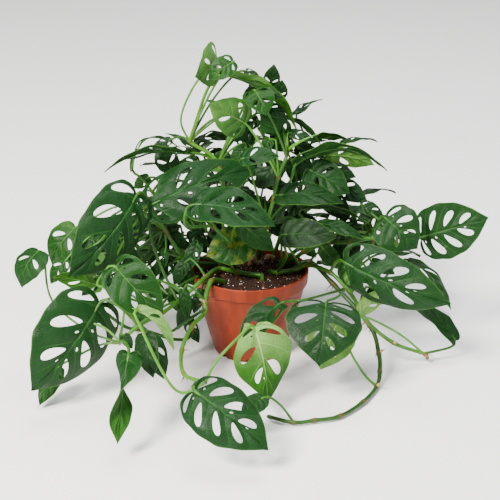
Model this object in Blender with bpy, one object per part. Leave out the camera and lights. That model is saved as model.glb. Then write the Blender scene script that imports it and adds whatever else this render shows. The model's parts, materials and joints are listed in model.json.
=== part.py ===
"""Swiss cheese vine (Monstera adansonii) in a six-inch nursery pot.

The pot stands on z = 0 with its axis on the origin. -Y is the front and +X the right-hand side.
Every stem is one closed solid with its petioles and its pierced leaves. Lengths are millimetres.
"""

import math
from collections import namedtuple

import bmesh
import bpy
from mathutils import Matrix, Vector, noise
from mathutils.geometry import delaunay_2d_cdt

MM = 0.001

# Pot
POT_HEIGHT = 112.0
POT_RIM_RADIUS = 75.0
POT_RIM_BAND = 17.0
POT_STEP = 2.2
POT_NECK_RADIUS = 71.0
POT_BASE_RADIUS = 46.5
POT_FOOT_CHAMFER = 2.0
POT_FOOT_LINE = 10.0
POT_FOOT_LEDGE = 0.5
POT_WALL = 1.6
POT_FLOOR = 2.0
POT_SIDES = 30
DRAIN_COUNT = 8
DRAIN_SIZE = (14.0, 9.0, 7.0)
DRAIN_TOP = 5.5

# Soil and the old cut stems in it
FIT_GAP = 0.35
SOIL_TOP = 103.0
SOIL_BUMP = 1.6
SOIL_RINGS = (0.0, 22.0, 43.0, 61.0)
SOIL_SIDES = 18
ROOT_DEPTH = 32.0
HOLE_SIDES = 8
STUBS = (((0, 32), 3.2, 9.0), ((28, 42), 2.8, 7.0))

# Stems, petioles and blades
STEM_RADIUS = 2.6
STEM_TIP_RADIUS = 1.8
NODE_SWELL = 1.25
STEM_SIDES = 5
STEM_STEPS = 2
PETIOLE_SIDES = 3
PETIOLE_STEPS = 2
PETIOLE_SPANS = 3
BLADE_THICKNESS = 0.8
MIDRIB_GRIP = 0.09
WINDOW_INNER = 0.13
WINDOW_OUTER = 0.86
WINDOW_HALF = 0.038
VEIN_SWEEP = 1.4
# Blades shorter than this: steps of one side's margin, corners of a hole, radius of the stalk
BLADE_DETAIL = ((60.0, (5, 4, 1.4)), (92.0, (6, 5, 1.6)), (1000.0, (8, 6, 1.9)))
WAVE_HEIGHT = 0.012
WAVE_COUNT = 2.5

# One side of a leaf of length 1, from the stalk to the tip: (along the midrib, out from it)
HALF_OUTLINE = (
    (0.0, 0.0),
    (-0.055, 0.10),
    (-0.035, 0.24),
    (0.09, 0.345),
    (0.28, 0.39),
    (0.50, 0.37),
    (0.70, 0.275),
    (0.85, 0.15),
    (0.945, 0.05),
    (1.0, 0.0),
)
OUTLINE_WIDTH = 0.77

Stem = namedtuple("Stem", "name route leaves")
# node: place in the route; via: points of the stalk; face: azimuth and elevation of the upper side;
# width and arch: shares of the length; cup and twist: degrees; windows: holes in the blade
Leaf = namedtuple("Leaf", "name node via base tip face width arch cup twist windows")

STEMS = (
    Stem(
        "trail_left",
        ((15, -20, 110), (-15, -10, 110), (-40, 2, 110), (-55, -50, 120), (-80, -85, 110),
         (-105, -125, 105), (-130, -160, 105), (-150, -185, 95)),
        (
            Leaf("big_left", 6, (), (-175, -150, 130), (-255, -190, 35), (318, 20), 0.8, 0.08, -32, 0, 7),
            Leaf("dark_low", 6, (), (-120, -195, 110), (-110, -215, 65), (250, 12), 0.6, 0.05, 5, 0, 1),
            Leaf("twisted", 7, (), (-135, -235, 105), (-145, -295, 25), (255, 10), 0.42, 0.06, -25, 180, 0),
            Leaf("curl_far_left", 7, ((-195, -120, 80), (-240, -95, 110)),
                 (-255, -75, 165), (-275, -95, 125), (235, 30), 0.95, 0.2, -20, 0, 2),
            Leaf("fan_left", 7, ((-150, -125, 120),),
                 (-180, -100, 130), (-235, -110, 145), (90, 10), 0.5, 0.08, -8, 0, 4),
            Leaf("dark_low_2", 6, (), (-115, -170, 95), (-100, -180, 45), (270, 10), 0.5, 0.05, 0, 0, 1),
            Leaf("blue_left", 5, ((-160, -95, 130), (-170, -70, 155)),
                 (-155, -50, 160), (-135, -55, 115), (262, 30), 0.55, 0.1, 10, 0, 2),
            Leaf("fresh_left", 6, ((-155, -165, 150), (-175, -165, 160)),
                 (-155, -160, 180), (-100, -175, 120), (272, 25), 0.68, 0.1, 14, 0, 5),
        ),
    ),
    Stem(
        "left_arm",
        ((-47, 26, 106), (-80, -15, 130), (-105, -30, 175), (-120, -45, 210)),
        (
            Leaf("broad_left", 3, (), (-135, -70, 235), (-215, -120, 150), (322, 24), 0.68, 0.12, -32, 0, 7),
            Leaf("broad_centre_left", 3, (),
                 (-120, -50, 215), (10, -10, 250), (272, 42), 0.5, 0.1, -20, 0, 6),
            Leaf("bright_left", 2, ((-155, -25, 205),),
                 (-215, -35, 180), (-245, -45, 135), (250, 28), 0.75, 0.2, 0, 0, 2),
            Leaf("dark_left", 1, (), (-95, 15, 165), (-135, 10, 140), (265, 35), 0.55, 0.1, 10, 0, 2),
            Leaf("narrow_left", 2, (), (-125, 5, 170), (-175, 10, 155), (270, 72), 0.5, 0.1, 0, 0, 2),
        ),
    ),
    Stem(
        "upper_left",
        ((-32, 40, 106), (-65, 25, 145), (-100, 40, 180), (-125, 40, 200)),
        (
            Leaf("arched_left", 3, (), (-150, 45, 230), (-90, 70, 250), (100, 70), 0.42, 0.4, 15, 0, 1),
            Leaf("window_left", 2, (), (-100, 45, 230), (-115, 60, 260), (255, 25), 0.85, 0.15, 0, 0, 2),
            Leaf("far_low_left", 1, ((-130, 60, 125),),
                 (-180, 60, 140), (-230, 45, 115), (258, 35), 0.6, 0.1, 0, 0, 2),
            Leaf("soil_left", 1, (), (-80, 40, 125), (-115, 25, 105), (262, 30), 0.5, 0.1, 0, 0, 1),
            Leaf("low_back_left", 2, ((-120, 60, 165),),
                 (-145, 80, 135), (-210, 70, 110), (255, 45), 0.6, 0.1, 0, 0, 1),
        ),
    ),
    Stem(
        "top",
        ((-15, 55, 105), (-30, 15, 180), (-40, 20, 245), (-75, 15, 275)),
        (
            Leaf("top_pale", 3, ((-85, 10, 305), (-70, 5, 345)),
                 (-40, 0, 385), (-65, -35, 370), (290, -15), 1.25, 0.12, -10, 0, 4),
            Leaf("top_long", 3, ((-55, 15, 335),),
                 (-35, 15, 360), (60, 25, 285), (30, 46), 0.42, 0.12, 50, 0, 3),
            Leaf("top_window", 2, ((-15, 10, 305),),
                 (5, 0, 345), (20, -25, 320), (275, 50), 1.0, 0.15, 0, 0, 4),
            Leaf("top_small", 1, ((-5, 50, 255),),
                 (10, 55, 315), (5, 60, 355), (270, 20), 0.5, 0.05, 0, 0, 0),
            Leaf("long_left", 2, (), (-80, 15, 260), (-180, -15, 245), (92, 62), 0.58, 0.12, 8, 0, 5),
            Leaf("pale_small", 1, (), (-30, 35, 235), (-70, 35, 240), (270, 40), 0.45, 0.1, 0, 0, 0),
            Leaf("ragged_top", 2, (), (-70, 50, 265), (-15, 60, 260), (95, 55), 0.7, 0.15, 0, 0, 2),
        ),
    ),
    Stem(
        "centre",
        ((10, 35, 105), (20, -5, 170), (30, -10, 210), (35, -5, 235), (45, 0, 260)),
        (
            Leaf("inner_up", 2, (), (25, 25, 220), (-15, 40, 245), (270, 40), 0.75, 0.1, 0, 0, 2),
            Leaf("inner_right", 1, (), (60, 20, 170), (95, 10, 150), (278, 40), 0.65, 0.1, 0, 0, 2),
            Leaf("grey_right", 2, (), (35, -15, 215), (115, -30, 210), (280, 62), 0.5, 0.1, 10, 0, 1),
            Leaf("long_right", 2, ((50, 10, 225),),
                 (60, 10, 250), (170, -10, 245), (92, 60), 0.5, 0.2, 10, 0, 4),
            Leaf("light_top", 3, ((15, -5, 275),),
                 (-5, -10, 305), (-50, -25, 335), (285, 15), 0.85, 0.1, 0, 0, 3),
            Leaf("blue_tip", 1, ((0, -40, 255),),
                 (-10, -55, 275), (35, -60, 280), (272, 55), 0.6, 0.1, 5, 0, 2),
        ),
    ),
    Stem(
        "front_centre",
        ((-20, 20, 105), (-25, -40, 160), (-45, -55, 190), (-55, -60, 210)),
        (
            Leaf("broad_front", 2, ((-75, -95, 205), (-75, -95, 225)),
                 (-65, -90, 230), (30, -110, 210), (272, 68), 0.66, 0.1, 8, 0, 7),
            Leaf("yellowing", 0, (), (0, -25, 160), (-55, -40, 145), (278, 32), 0.85, 0.05, 0, 0, 0),
            Leaf("soil_leaf", 1, (), (-10, -35, 185), (30, -50, 155), (262, 28), 0.6, 0.05, 10, 0, 1),
        ),
    ),
    Stem(
        "trail_right",
        ((25, 5, 105), (35, -10, 110), (60, 0, 110), (75, -10, 120), (100, -35, 120), (120, -50, 105),
         (135, -60, 85), (145, -60, 65), (180, -60, 35), (220, -50, 15)),
        (
            Leaf("solid_right", 1, ((45, -40, 145),),
                 (40, -60, 180), (105, -70, 180), (275, 48), 0.62, 0.1, 8, 0, 0),
            Leaf("big_right", 4, (), (115, -75, 150), (240, -120, 115), (278, 0), 0.54, 0.1, -48, 0, 7),
            Leaf("front_right", 5, ((105, -110, 120),),
                 (90, -130, 120), (80, -185, 65), (268, 42), 1.15, 0.15, -10, 0, 7),
            Leaf("hanging_light", 5, ((125, -55, 130),),
                 (120, -65, 140), (125, -70, 105), (275, 10), 0.6, 0.08, -10, 0, 1),
            Leaf("lone_right", 9, ((250, -45, 20),),
                 (260, -40, 30), (205, -10, 65), (255, 70), 0.38, 0.15, 30, 0, 0),
            Leaf("under_right", 9, ((190, -60, 45), (155, -70, 70)),
                 (135, -85, 90), (175, -80, 115), (95, 20), 0.6, 0.1, 0, 0, 1),
            Leaf("dark_front", 5, ((65, -130, 125),),
                 (35, -120, 115), (-10, -140, 55), (225, 25), 0.52, 0.15, 30, 0, 4),
        ),
    ),
    Stem(
        "loop_right",
        ((54, 8, 106), (76, 6, 118), (105, -10, 95), (150, -50, 55), (160, -80, 30), (160, -100, 15),
         (155, -120, 5), (135, -160, 5), (105, -195, 5), (75, -205, 5), (50, -210, 5), (20, -195, 5)),
        (
            Leaf("under_front", 6, ((140, -120, 20), (120, -120, 55)),
                 (105, -115, 90), (85, -135, 35), (88, -5), 0.95, 0.08, -6, 0, 6),
            Leaf("floor_front", 10, (), (15, -225, 45), (-10, -250, 35), (270, 60), 0.7, 0.05, 0, 0, 0),
        ),
    ),
    Stem(
        "loop_left",
        ((-34, -30, 106), (-48, -57, 118), (-55, -80, 100), (-55, -90, 90), (-70, -120, 85),
         (-80, -165, 75), (-75, -215, 70), (-50, -245, 75)),
        (
            Leaf("bottom_leaf", 7, (), (-60, -285, 85), (20, -325, 35), (285, 35), 0.7, 0.06, -30, 0, 8),
            Leaf("rolled_pale", 7, ((-75, -260, 70), (-95, -255, 90)),
                 (-125, -225, 155), (-85, -225, 105), (60, 15), 0.38, 0.12, 75, 0, 2),
            Leaf("pale_front", 7, ((-35, -235, 100),),
                 (5, -175, 110), (20, -205, 25), (40, -10), 0.8, 0.06, 35, -120, 5),
            Leaf("small_hang", 2, (), (-80, -100, 125), (-75, -110, 90), (270, 10), 0.4, 0.05, 0, 0, 0),
        ),
    ),
    Stem(
        "right_arm",
        ((50, 30, 105), (70, 0, 135), (100, -10, 150), (125, -20, 155), (155, -20, 160), (185, -20, 150)),
        (
            Leaf("shield_right", 4, (), (165, -40, 195), (205, -55, 160), (262, 30), 1.1, 0.12, 0, 0, 5),
            Leaf("lone_far_right", 5, (), (215, -15, 160), (295, -25, 190), (272, 18), 0.82, 0.05, 4, 0, 8),
            Leaf("edge_right", 2, ((70, 5, 175),),
                 (65, 5, 190), (150, -10, 175), (90, 62), 0.5, 0.1, 10, 0, 1),
            Leaf("strap_right", 2, (), (85, -35, 185), (140, -50, 170), (282, 60), 0.35, 0.1, 10, 0, 0),
            Leaf("light_low_right", 2, (), (90, -25, 150), (115, -25, 120), (268, 20), 0.55, 0.05, 0, 0, 0),
            Leaf("bright_far_right", 3, (), (150, 30, 150), (185, 30, 170), (265, 25), 0.7, 0.1, 0, 0, 2),
            Leaf("dark_low_right", 3, (), (120, 15, 155), (130, 5, 115), (268, 15), 0.85, 0.1, 0, 0, 2),
        ),
    ),
    Stem(
        "upper_right",
        ((30, 50, 105), (45, 40, 155), (65, 60, 185), (85, 75, 215)),
        (
            Leaf("bright_back", 3, (), (100, 70, 240), (160, 60, 230), (100, 25), 0.62, 0.1, 0, 0, 2),
            Leaf("deep_right", 2, (), (95, 60, 190), (130, 45, 160), (272, 35), 0.65, 0.1, 0, 0, 2),
            Leaf("tuft_right", 3, (), (80, 65, 260), (125, 60, 265), (95, 50), 0.6, 0.1, 10, 0, 1),
            Leaf("right_window", 2, (), (110, 45, 210), (150, 30, 190), (268, 38), 0.62, 0.08, 0, 0, 2),
            Leaf("ridge", 3, ((65, 70, 245),), (40, 55, 295), (90, 50, 260), (60, 60), 0.5, 0.1, 20, 0, 1),
            Leaf("centre_top", 2, ((55, 45, 235),),
                 (40, 25, 270), (15, 20, 320), (272, 30), 0.7, 0.1, 0, 0, 2),
            Leaf("glossy_right", 2, (), (75, 25, 235), (125, 5, 210), (265, 35), 0.75, 0.08, 5, 0, 2),
        ),
    ),
    Stem(
        "back_left",
        ((-25, 30, 106), (-45, 72, 122), (-70, 110, 110), (-105, 150, 70), (-135, 180, 25)),
        (
            Leaf("back_left_high", 2, (), (-120, 100, 165), (-190, 130, 120), (160, 55), 0.64, 0.1, 5, 0, 2),
            Leaf("back_left_rear", 3, (), (-100, 175, 130), (-125, 235, 65), (110, 40), 0.66, 0.1, 5, 0, 2),
            Leaf("back_left_low", 4, (), (-170, 195, 70), (-240, 170, 15), (190, 50), 0.6, 0.1, 5, 0, 2),
        ),
    ),
    Stem(
        "back_centre",
        ((5, 38, 106), (8, 74, 124), (15, 115, 120), (25, 160, 85), (30, 190, 45)),
        (
            Leaf("back_high", 2, (), (-25, 115, 190), (-45, 175, 130), (100, 50), 0.66, 0.1, 5, 0, 2),
            Leaf("back_rear", 3, (), (60, 155, 150), (70, 225, 95), (80, 45), 0.66, 0.1, 5, 0, 2),
            Leaf("back_low", 4, (), (0, 195, 90), (-15, 235, 12), (100, 35), 0.6, 0.1, 5, 0, 2),
        ),
    ),
    Stem(
        "back_right",
        ((38, 25, 106), (68, 45, 122), (105, 75, 108), (145, 105, 65), (175, 130, 22)),
        (
            Leaf("back_right_high", 2, (), (125, 75, 165), (200, 100, 120), (30, 60), 0.64, 0.1, 5, 0, 2),
            Leaf("back_right_rear", 3, (), (125, 150, 115), (160, 225, 55), (75, 40), 0.66, 0.1, 5, 0, 2),
            Leaf("back_right_low", 4, (), (220, 130, 70), (275, 90, 12), (350, 45), 0.6, 0.1, 5, 0, 2),
        ),
    ),
)


def clear_scene():
    for old in list(bpy.data.objects):
        bpy.data.objects.remove(old, do_unlink=True)


def material(name, colour, roughness):
    found = bpy.data.materials.new(name)
    found.use_nodes = True
    shader = found.node_tree.nodes["Principled BSDF"]
    shader.inputs["Base Color"].default_value = (*colour, 1.0)
    shader.inputs["Roughness"].default_value = roughness
    shader.inputs["Metallic"].default_value = 0.0
    return found


def object_from(name, points, faces, look=None):
    """A mesh object from points in millimetres."""
    mesh = bpy.data.meshes.new(name)
    mesh.from_pydata([Vector(point) * MM for point in points], [], faces)
    mesh.update()
    made = bpy.data.objects.new(name, mesh)
    bpy.context.scene.collection.objects.link(made)
    if look:
        mesh.materials.append(look)
    return made


def smooth(made, angle=40.0):
    made.data.shade_smooth()
    made.data.set_sharp_from_angle(angle=math.radians(angle))


def curve_through(points, steps):
    """Points of a smooth curve through the given ones."""
    points = [Vector(point) for point in points]
    ends = [2 * points[0] - points[1]] + points + [2 * points[-1] - points[-2]]
    line = [points[0]]
    for i in range(1, len(ends) - 2):
        a, b, c, d = ends[i - 1 : i + 3]
        for step in range(1, steps + 1):
            t = step / steps
            pull = (c - a) * t + (2 * a - 5 * b + 4 * c - d) * t**2 + (3 * b - a - 3 * c + d) * t**3
            line.append(b + pull / 2)
    return line


def tube(line, radii, sides):
    """Points and faces of a closed tube along a line."""
    points, faces = [], []
    way = (line[1] - line[0]).normalized()
    across = way.orthogonal().normalized()
    for i, centre in enumerate(line):
        ahead = line[min(i + 1, len(line) - 1)] - line[max(i - 1, 0)]
        turn = way.rotation_difference(ahead.normalized())
        across = (turn @ across).normalized()
        way = ahead.normalized()
        for k in range(sides):
            spoke = Matrix.Rotation(math.tau * k / sides, 3, way) @ across
            points.append(centre + spoke * radii[i])
    for i in range(len(line) - 1):
        for k in range(sides):
            m = (k + 1) % sides
            faces.append((i * sides + k, i * sides + m, (i + 1) * sides + m, (i + 1) * sides + k))
    last = (len(line) - 1) * sides
    faces.append(tuple(reversed(range(sides))))
    faces.append(tuple(last + k for k in range(sides)))
    return points, faces


def half_outline(steps):
    """One side of the unit leaf from stalk to tip, as a smooth curve."""
    line = curve_through([(x, y, 0.0) for x, y in HALF_OUTLINE], 8)
    picked = [line[round(i * (len(line) - 1) / steps)] for i in range(steps + 1)]
    return [(point.x, point.y) for point in picked]


def outline_at(t):
    """The margin of the unit leaf where the vein that starts at share t of the midrib ends."""
    line = curve_through([(x, y, 0.0) for x, y in HALF_OUTLINE], 8)
    place = (0.12 + 0.88 * t) * (len(line) - 1)
    low = min(int(place), len(line) - 2)
    return line[low].lerp(line[low + 1], place - low)


def on_vein(t, q):
    """A point of the unit leaf at share q of the way along the curved vein t."""
    start = Vector((max(0.0, (t - 0.22) / 0.78) ** VEIN_SWEEP, 0.0, 0.0))
    end = outline_at(t)
    middle = (start + end) / 2 - Vector((0.10 * (1 - t), 0.0, 0.0))
    point = start * (1 - q) ** 2 + middle * 2 * q * (1 - q) + end * q**2
    return point.x, point.y


def window(t, inner, outer, half, sides):
    """An oval hole between two veins of the unit leaf."""
    middle, reach = (inner + outer) / 2, (outer - inner) / 2
    angles = [math.tau * k / sides for k in range(sides)]
    return [on_vein(t + half * math.sin(a), middle + reach * math.cos(a)) for a in angles]


def windows_of(leaf, sides):
    """The holes of a leaf as loops of unit-leaf points, left side first."""
    loops = []
    for side, count in ((1, (leaf.windows + 1) // 2), (-1, leaf.windows // 2)):
        for i in range(count):
            t = 0.17 + 0.62 * (i + 0.5) / count + 0.012 * side
            loop = window(t, WINDOW_INNER, WINDOW_OUTER - 0.1 * t, min(WINDOW_HALF, 0.14 / count), sides)
            loops.append([(x, side * y) for x, y in loop])
    return loops


def blade_frame(leaf):
    base, tip = Vector(leaf.base), Vector(leaf.tip)
    azimuth, height = (math.radians(angle) for angle in leaf.face)
    along = tip - base
    forward = along.normalized()
    hint = Vector((math.cos(azimuth) * math.cos(height), math.sin(azimuth) * math.cos(height), math.sin(height)))
    up = (hint - forward * hint.dot(forward)).normalized()
    return base, along.length, forward, up, up.cross(forward)


def blade_point(leaf, frame, x, y):
    """A point of the unit leaf laid on the bent, folded and waved blade."""
    base, length, forward, up, side = frame
    reach = min(max(x, 0.0), 1.0)
    rise = 4 * leaf.arch * reach * (1 - reach)
    slope = 4 * leaf.arch * (1 - 2 * reach)
    centre = base + forward * (length * reach) + up * (length * rise)
    ahead = (forward + up * slope).normalized()
    if x != reach:
        centre += ahead * (length * (x - reach))
    turn = Matrix.Rotation(math.radians(leaf.twist) * reach, 3, ahead)
    across = turn @ side
    normal = ahead.cross(across)
    share = y / 0.385
    fold = math.radians(leaf.cup) * share
    out = y * length * leaf.width / OUTLINE_WIDTH
    if abs(fold) > 1e-4:
        flat, lift = math.sin(fold) / fold, (1 - math.cos(fold)) / abs(fold)
    else:
        flat, lift = 1.0, 0.0
    lift = math.copysign(lift, leaf.cup) * abs(out)
    wave = WAVE_HEIGHT * length * math.sin(math.tau * WAVE_COUNT * x + (1.0 if y > 0 else 2.6)) * share**2
    return centre + across * (out * flat) + normal * (lift + wave)


def detail_of(leaf):
    """How finely a blade of this length is drawn, and how thick its stalk is."""
    length = (Vector(leaf.tip) - Vector(leaf.base)).length
    return next(detail for longest, detail in BLADE_DETAIL if length < longest)


def flat_blade(leaf):
    """The pierced unit leaf as points and triangles that face up, creased along the midrib."""
    steps, corners_of_hole, _ = detail_of(leaf)
    half = half_outline(steps)
    rib = [(0.5, 0.0)]
    places, triangles = {}, []
    for side in (1, -1):
        loops = [[(x, side * y) for x, y in half] + rib]
        loops += [loop for loop in windows_of(leaf, corners_of_hole) if loop[0][1] * side > 0]
        flat, rings = [], []
        for loop in loops:
            rings.append(list(range(len(flat), len(flat) + len(loop))))
            flat += loop
        found, _, faces, _, _, _ = delaunay_2d_cdt([Vector(p) for p in flat], [], rings, 2, 1e-7)
        for face in faces:
            corners = [found[i] for i in face]
            if area_of(corners) < 0:
                corners.reverse()
            keys = [(round(p.x, 5), round(p.y, 5) + 0.0) for p in corners]
            triangles.append(tuple(places.setdefault(key, len(places)) for key in keys))
    return list(places), triangles


def blade_mesh(leaf):
    """Points and faces of the blade, with the same triangles above and below."""
    frame = blade_frame(leaf)
    flat, faces = flat_blade(leaf)
    top, bottom = [], []
    for x, y in flat:
        here = blade_point(leaf, frame, x, y)
        ahead = blade_point(leaf, frame, x + 1e-3, y) - here
        aside = blade_point(leaf, frame, x, y + 1e-3) - here
        normal = ahead.cross(aside).normalized() * (BLADE_THICKNESS / 2)
        top.append(here + normal)
        bottom.append(here - normal)
    count = len(flat)
    edges = {(face[i], face[(i + 1) % 3]) for face in faces for i in range(3)}
    solid = faces + [tuple(i + count for i in reversed(face)) for face in faces]
    for a, b in sorted(edges):
        if (b, a) not in edges:
            solid += [(a, a + count, b + count), (a, b + count, b)]
    return top + bottom, solid


def area_of(corners):
    a, b, c = corners[:3]
    return (b - a).cross(c - a)


def petiole_line(leaf, root):
    """The stalk from its node on the stem up to the blade."""
    frame = blade_frame(leaf)
    base, length = frame[0], frame[1]
    grip = blade_point(leaf, frame, MIDRIB_GRIP, 0.0)
    start = blade_point(leaf, frame, 0.0, 0.0)
    points = [root, *[Vector(p) for p in leaf.via]]
    along = (grip - start).normalized()
    inward = (start - points[-1]).normalized()
    if not leaf.via:
        inward = (inward - Vector((0.0, 0.0, 0.5))).normalized()
    bend = inward + along
    if bend.length < 0.7:
        bend = along * 0.3 + inward + frame[3] * 0.9
    entry = start - bend.normalized() * min(7.0, 0.45 * (start - points[-1]).length)
    if leaf.via:
        return [*curve_through([*points, entry], PETIOLE_STEPS), grip]
    over = (root + entry) / 2 + Vector((0.0, 0.0, 0.22 * (entry - root).length))
    shares = [k / PETIOLE_SPANS for k in range(PETIOLE_SPANS + 1)]
    return [root * (1 - s) ** 2 + over * 2 * s * (1 - s) + entry * s**2 for s in shares] + [grip]


def stem_line(stem):
    """The stem from its end in the soil through its nodes, straight where it leaves the soil."""
    root = Vector(stem.route[0])
    line = [Vector((root.x, root.y, SOIL_TOP - ROOT_DEPTH)), Vector((root.x, root.y, SOIL_TOP))]
    return line + curve_through([Vector(p) for p in stem.route], STEM_STEPS)


def stem_solids(stem):
    """The loose meshes of a stem: the stem itself, its stalks and its blades."""
    line = stem_line(stem)
    nodes = [len(line) - 1 - STEM_STEPS * (len(stem.route) - 1 - k) for k in range(len(stem.route))]
    radii = []
    for i in range(len(line)):
        radius = STEM_RADIUS + (STEM_TIP_RADIUS - STEM_RADIUS) * i / (len(line) - 1)
        radii.append(radius * (NODE_SWELL if i in nodes[1:] else 1.0))
    meshes = [tube(line, radii, STEM_SIDES)]
    for leaf in stem.leaves:
        stalk = petiole_line(leaf, Vector(stem.route[leaf.node]))
        meshes.append(tube(stalk, [detail_of(leaf)[2]] * len(stalk), PETIOLE_SIDES))
        meshes.append(blade_mesh(leaf))
    return meshes


def build_stem(stem, look):
    """One closed solid: a Boolean union of the stem with its stalks and blades."""
    meshes = stem_solids(stem)
    made = object_from(stem.name, *meshes[0], look)
    others = bpy.data.collections.new(stem.name + "_parts")
    bpy.context.scene.collection.children.link(others)
    for i, (points, faces) in enumerate(meshes[1:]):
        piece = object_from(f"{stem.name}_{i}", points, faces)
        bpy.context.scene.collection.objects.unlink(piece)
        others.objects.link(piece)
    join(made, others)
    return made


def join(made, others, operation="UNION"):
    """Applies a Boolean with every object of a collection, then removes them."""
    cut = made.modifiers.new("join", "BOOLEAN")
    cut.operation = operation
    cut.operand_type = "COLLECTION"
    cut.collection = others
    cut.solver = "EXACT"
    graph = bpy.context.evaluated_depsgraph_get()
    mesh = bpy.data.meshes.new_from_object(made.evaluated_get(graph))
    made.modifiers.clear()
    made.data = mesh
    for piece in list(others.objects):
        bpy.data.objects.remove(piece, do_unlink=True)
    bpy.data.collections.remove(others)


def pot_inner_radius(z):
    """The radius of the pot's inside at a height."""
    neck = POT_HEIGHT - POT_RIM_BAND
    low = POT_BASE_RADIUS - POT_WALL
    high = POT_NECK_RADIUS - POT_WALL
    if z <= neck:
        return low + (high - low) * z / neck
    return high + POT_STEP * (z - neck) / POT_RIM_BAND + 0.6


def pot_profile():
    """Half section of the pot, from the centre of its underside round to the centre of its floor."""
    neck = POT_HEIGHT - POT_RIM_BAND
    slope = (POT_NECK_RADIUS - POT_BASE_RADIUS) / neck
    line_radius = POT_BASE_RADIUS + slope * POT_FOOT_LINE
    band = POT_RIM_RADIUS - 1.2
    lip = POT_RIM_RADIUS - 2.4
    return (
        (0.0, 0.0),
        (POT_BASE_RADIUS - POT_FOOT_CHAMFER, 0.0),
        (POT_BASE_RADIUS - POT_FOOT_LEDGE, POT_FOOT_CHAMFER),
        (line_radius - POT_FOOT_LEDGE, POT_FOOT_LINE),
        (line_radius, POT_FOOT_LINE + POT_FOOT_LEDGE),
        (POT_NECK_RADIUS, neck - 0.8),
        (POT_NECK_RADIUS + POT_STEP, neck),
        (band, neck + 1.0),
        (POT_RIM_RADIUS, POT_HEIGHT - 1.0),
        (POT_RIM_RADIUS - 0.7, POT_HEIGHT),
        (lip, POT_HEIGHT),
        (lip - 0.6, POT_HEIGHT - 0.8),
        (pot_inner_radius(neck + 0.01), neck + 0.01),
        (pot_inner_radius(neck - 0.6), neck - 0.6),
        (pot_inner_radius(POT_FLOOR + 2.0), POT_FLOOR + 2.0),
        (pot_inner_radius(POT_FLOOR) - 1.5, POT_FLOOR),
        (0.0, POT_FLOOR),
    )


def turned(profile, sides):
    """Points and faces of a profile turned round the Z axis, with both ends on the axis."""
    points = [(0.0, 0.0, profile[0][1])]
    for radius, z in profile[1:-1]:
        for k in range(sides):
            angle = math.tau * k / sides
            points.append((radius * math.cos(angle), radius * math.sin(angle), z))
    points.append((0.0, 0.0, profile[-1][1]))
    faces = []
    rings = len(profile) - 2
    last = len(points) - 1
    for k in range(sides):
        m = (k + 1) % sides
        faces.append((0, 1 + m, 1 + k))
        for i in range(rings - 1):
            a, b = 1 + i * sides, 1 + (i + 1) * sides
            faces.append((a + k, a + m, b + m, b + k))
        top = 1 + (rings - 1) * sides
        faces.append((top + k, top + m, last))
    return points, faces


def box_mesh(size, place, angle):
    """Points and faces of a box turned about Z and moved out along its own X."""
    turn = Matrix.Rotation(angle, 3, "Z")
    points = []
    for x in (-0.5, 0.5):
        for y in (-0.5, 0.5):
            for z in (-0.5, 0.5):
                points.append(turn @ (Vector((x * size[0], y * size[1], z * size[2])) + Vector(place)))
    faces = [(0, 1, 3, 2), (4, 6, 7, 5), (0, 4, 5, 1), (2, 3, 7, 6), (0, 2, 6, 4), (1, 5, 7, 3)]
    return points, faces


def build_pot(look):
    """The pot, with its drainage slots cut through the edge of the floor."""
    pot = object_from("pot", *turned(pot_profile(), POT_SIDES), look)
    cutters = bpy.data.collections.new("pot_cutters")
    bpy.context.scene.collection.children.link(cutters)
    for k in range(DRAIN_COUNT):
        angle = math.tau * (k + 0.5) / DRAIN_COUNT + math.radians(22.5)
        place = (POT_BASE_RADIUS - 1.0, 0.0, DRAIN_TOP - DRAIN_SIZE[2] / 2)
        slot = object_from(f"pot_slot_{k}", *box_mesh(DRAIN_SIZE, place, angle))
        bpy.context.scene.collection.objects.unlink(slot)
        cutters.objects.link(slot)
    join(pot, cutters, "DIFFERENCE")
    smooth(pot)
    return pot


def soil_height(x, y):
    """The bumpy top of the soil."""
    broad = noise.noise(Vector((x * 0.045, y * 0.045, 3.1)))
    fine = noise.noise(Vector((x * 0.13, y * 0.13, 8.4)))
    return SOIL_TOP + SOIL_BUMP * (broad + 0.6 * fine)


def build_soil(look):
    """The soil that fills the pot, with a plain hole for each stem and stub."""
    neck = POT_HEIGHT - POT_RIM_BAND
    heights = (POT_FLOOR + 2.4, neck - 0.6, neck + 0.2)
    flats = math.cos(math.pi / POT_SIDES)
    side = [((pot_inner_radius(z) - FIT_GAP) * flats, z) for z in heights]
    floor = POT_FLOOR + FIT_GAP
    wall = (pot_inner_radius(SOIL_TOP - 2.0) - FIT_GAP) * flats
    profile = [(0.0, floor), (side[0][0] - 1.8, floor), *side, (wall, SOIL_TOP - 2.0)]
    profile += [(radius, SOIL_TOP) for radius in reversed(SOIL_RINGS)]
    points, faces = turned(profile, SOIL_SIDES)
    points = [
        (x, y, soil_height(x, y) if z >= SOIL_TOP - 0.01 else z) for x, y, z in points
    ]
    soil = object_from("soil", points, faces, look)
    cutters = bpy.data.collections.new("soil_cutters")
    bpy.context.scene.collection.children.link(cutters)
    holes = [(stem.route[0], STEM_RADIUS, ROOT_DEPTH) for stem in STEMS]
    holes += [(centre, radius, ROOT_DEPTH * 0.6) for centre, radius, _ in STUBS]
    for k, (centre, radius, depth) in enumerate(holes):
        reach = (radius + FIT_GAP) / math.cos(math.pi / HOLE_SIDES)
        low, high = SOIL_TOP - depth - FIT_GAP, SOIL_TOP + 8.0
        line = [Vector((centre[0], centre[1], low)), Vector((centre[0], centre[1], high))]
        hole = object_from(f"soil_hole_{k}", *tube(line, [reach] * 2, HOLE_SIDES))
        bpy.context.scene.collection.objects.unlink(hole)
        cutters.objects.link(hole)
    join(soil, cutters, "DIFFERENCE")
    smooth(soil, 30.0)
    return soil


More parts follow.
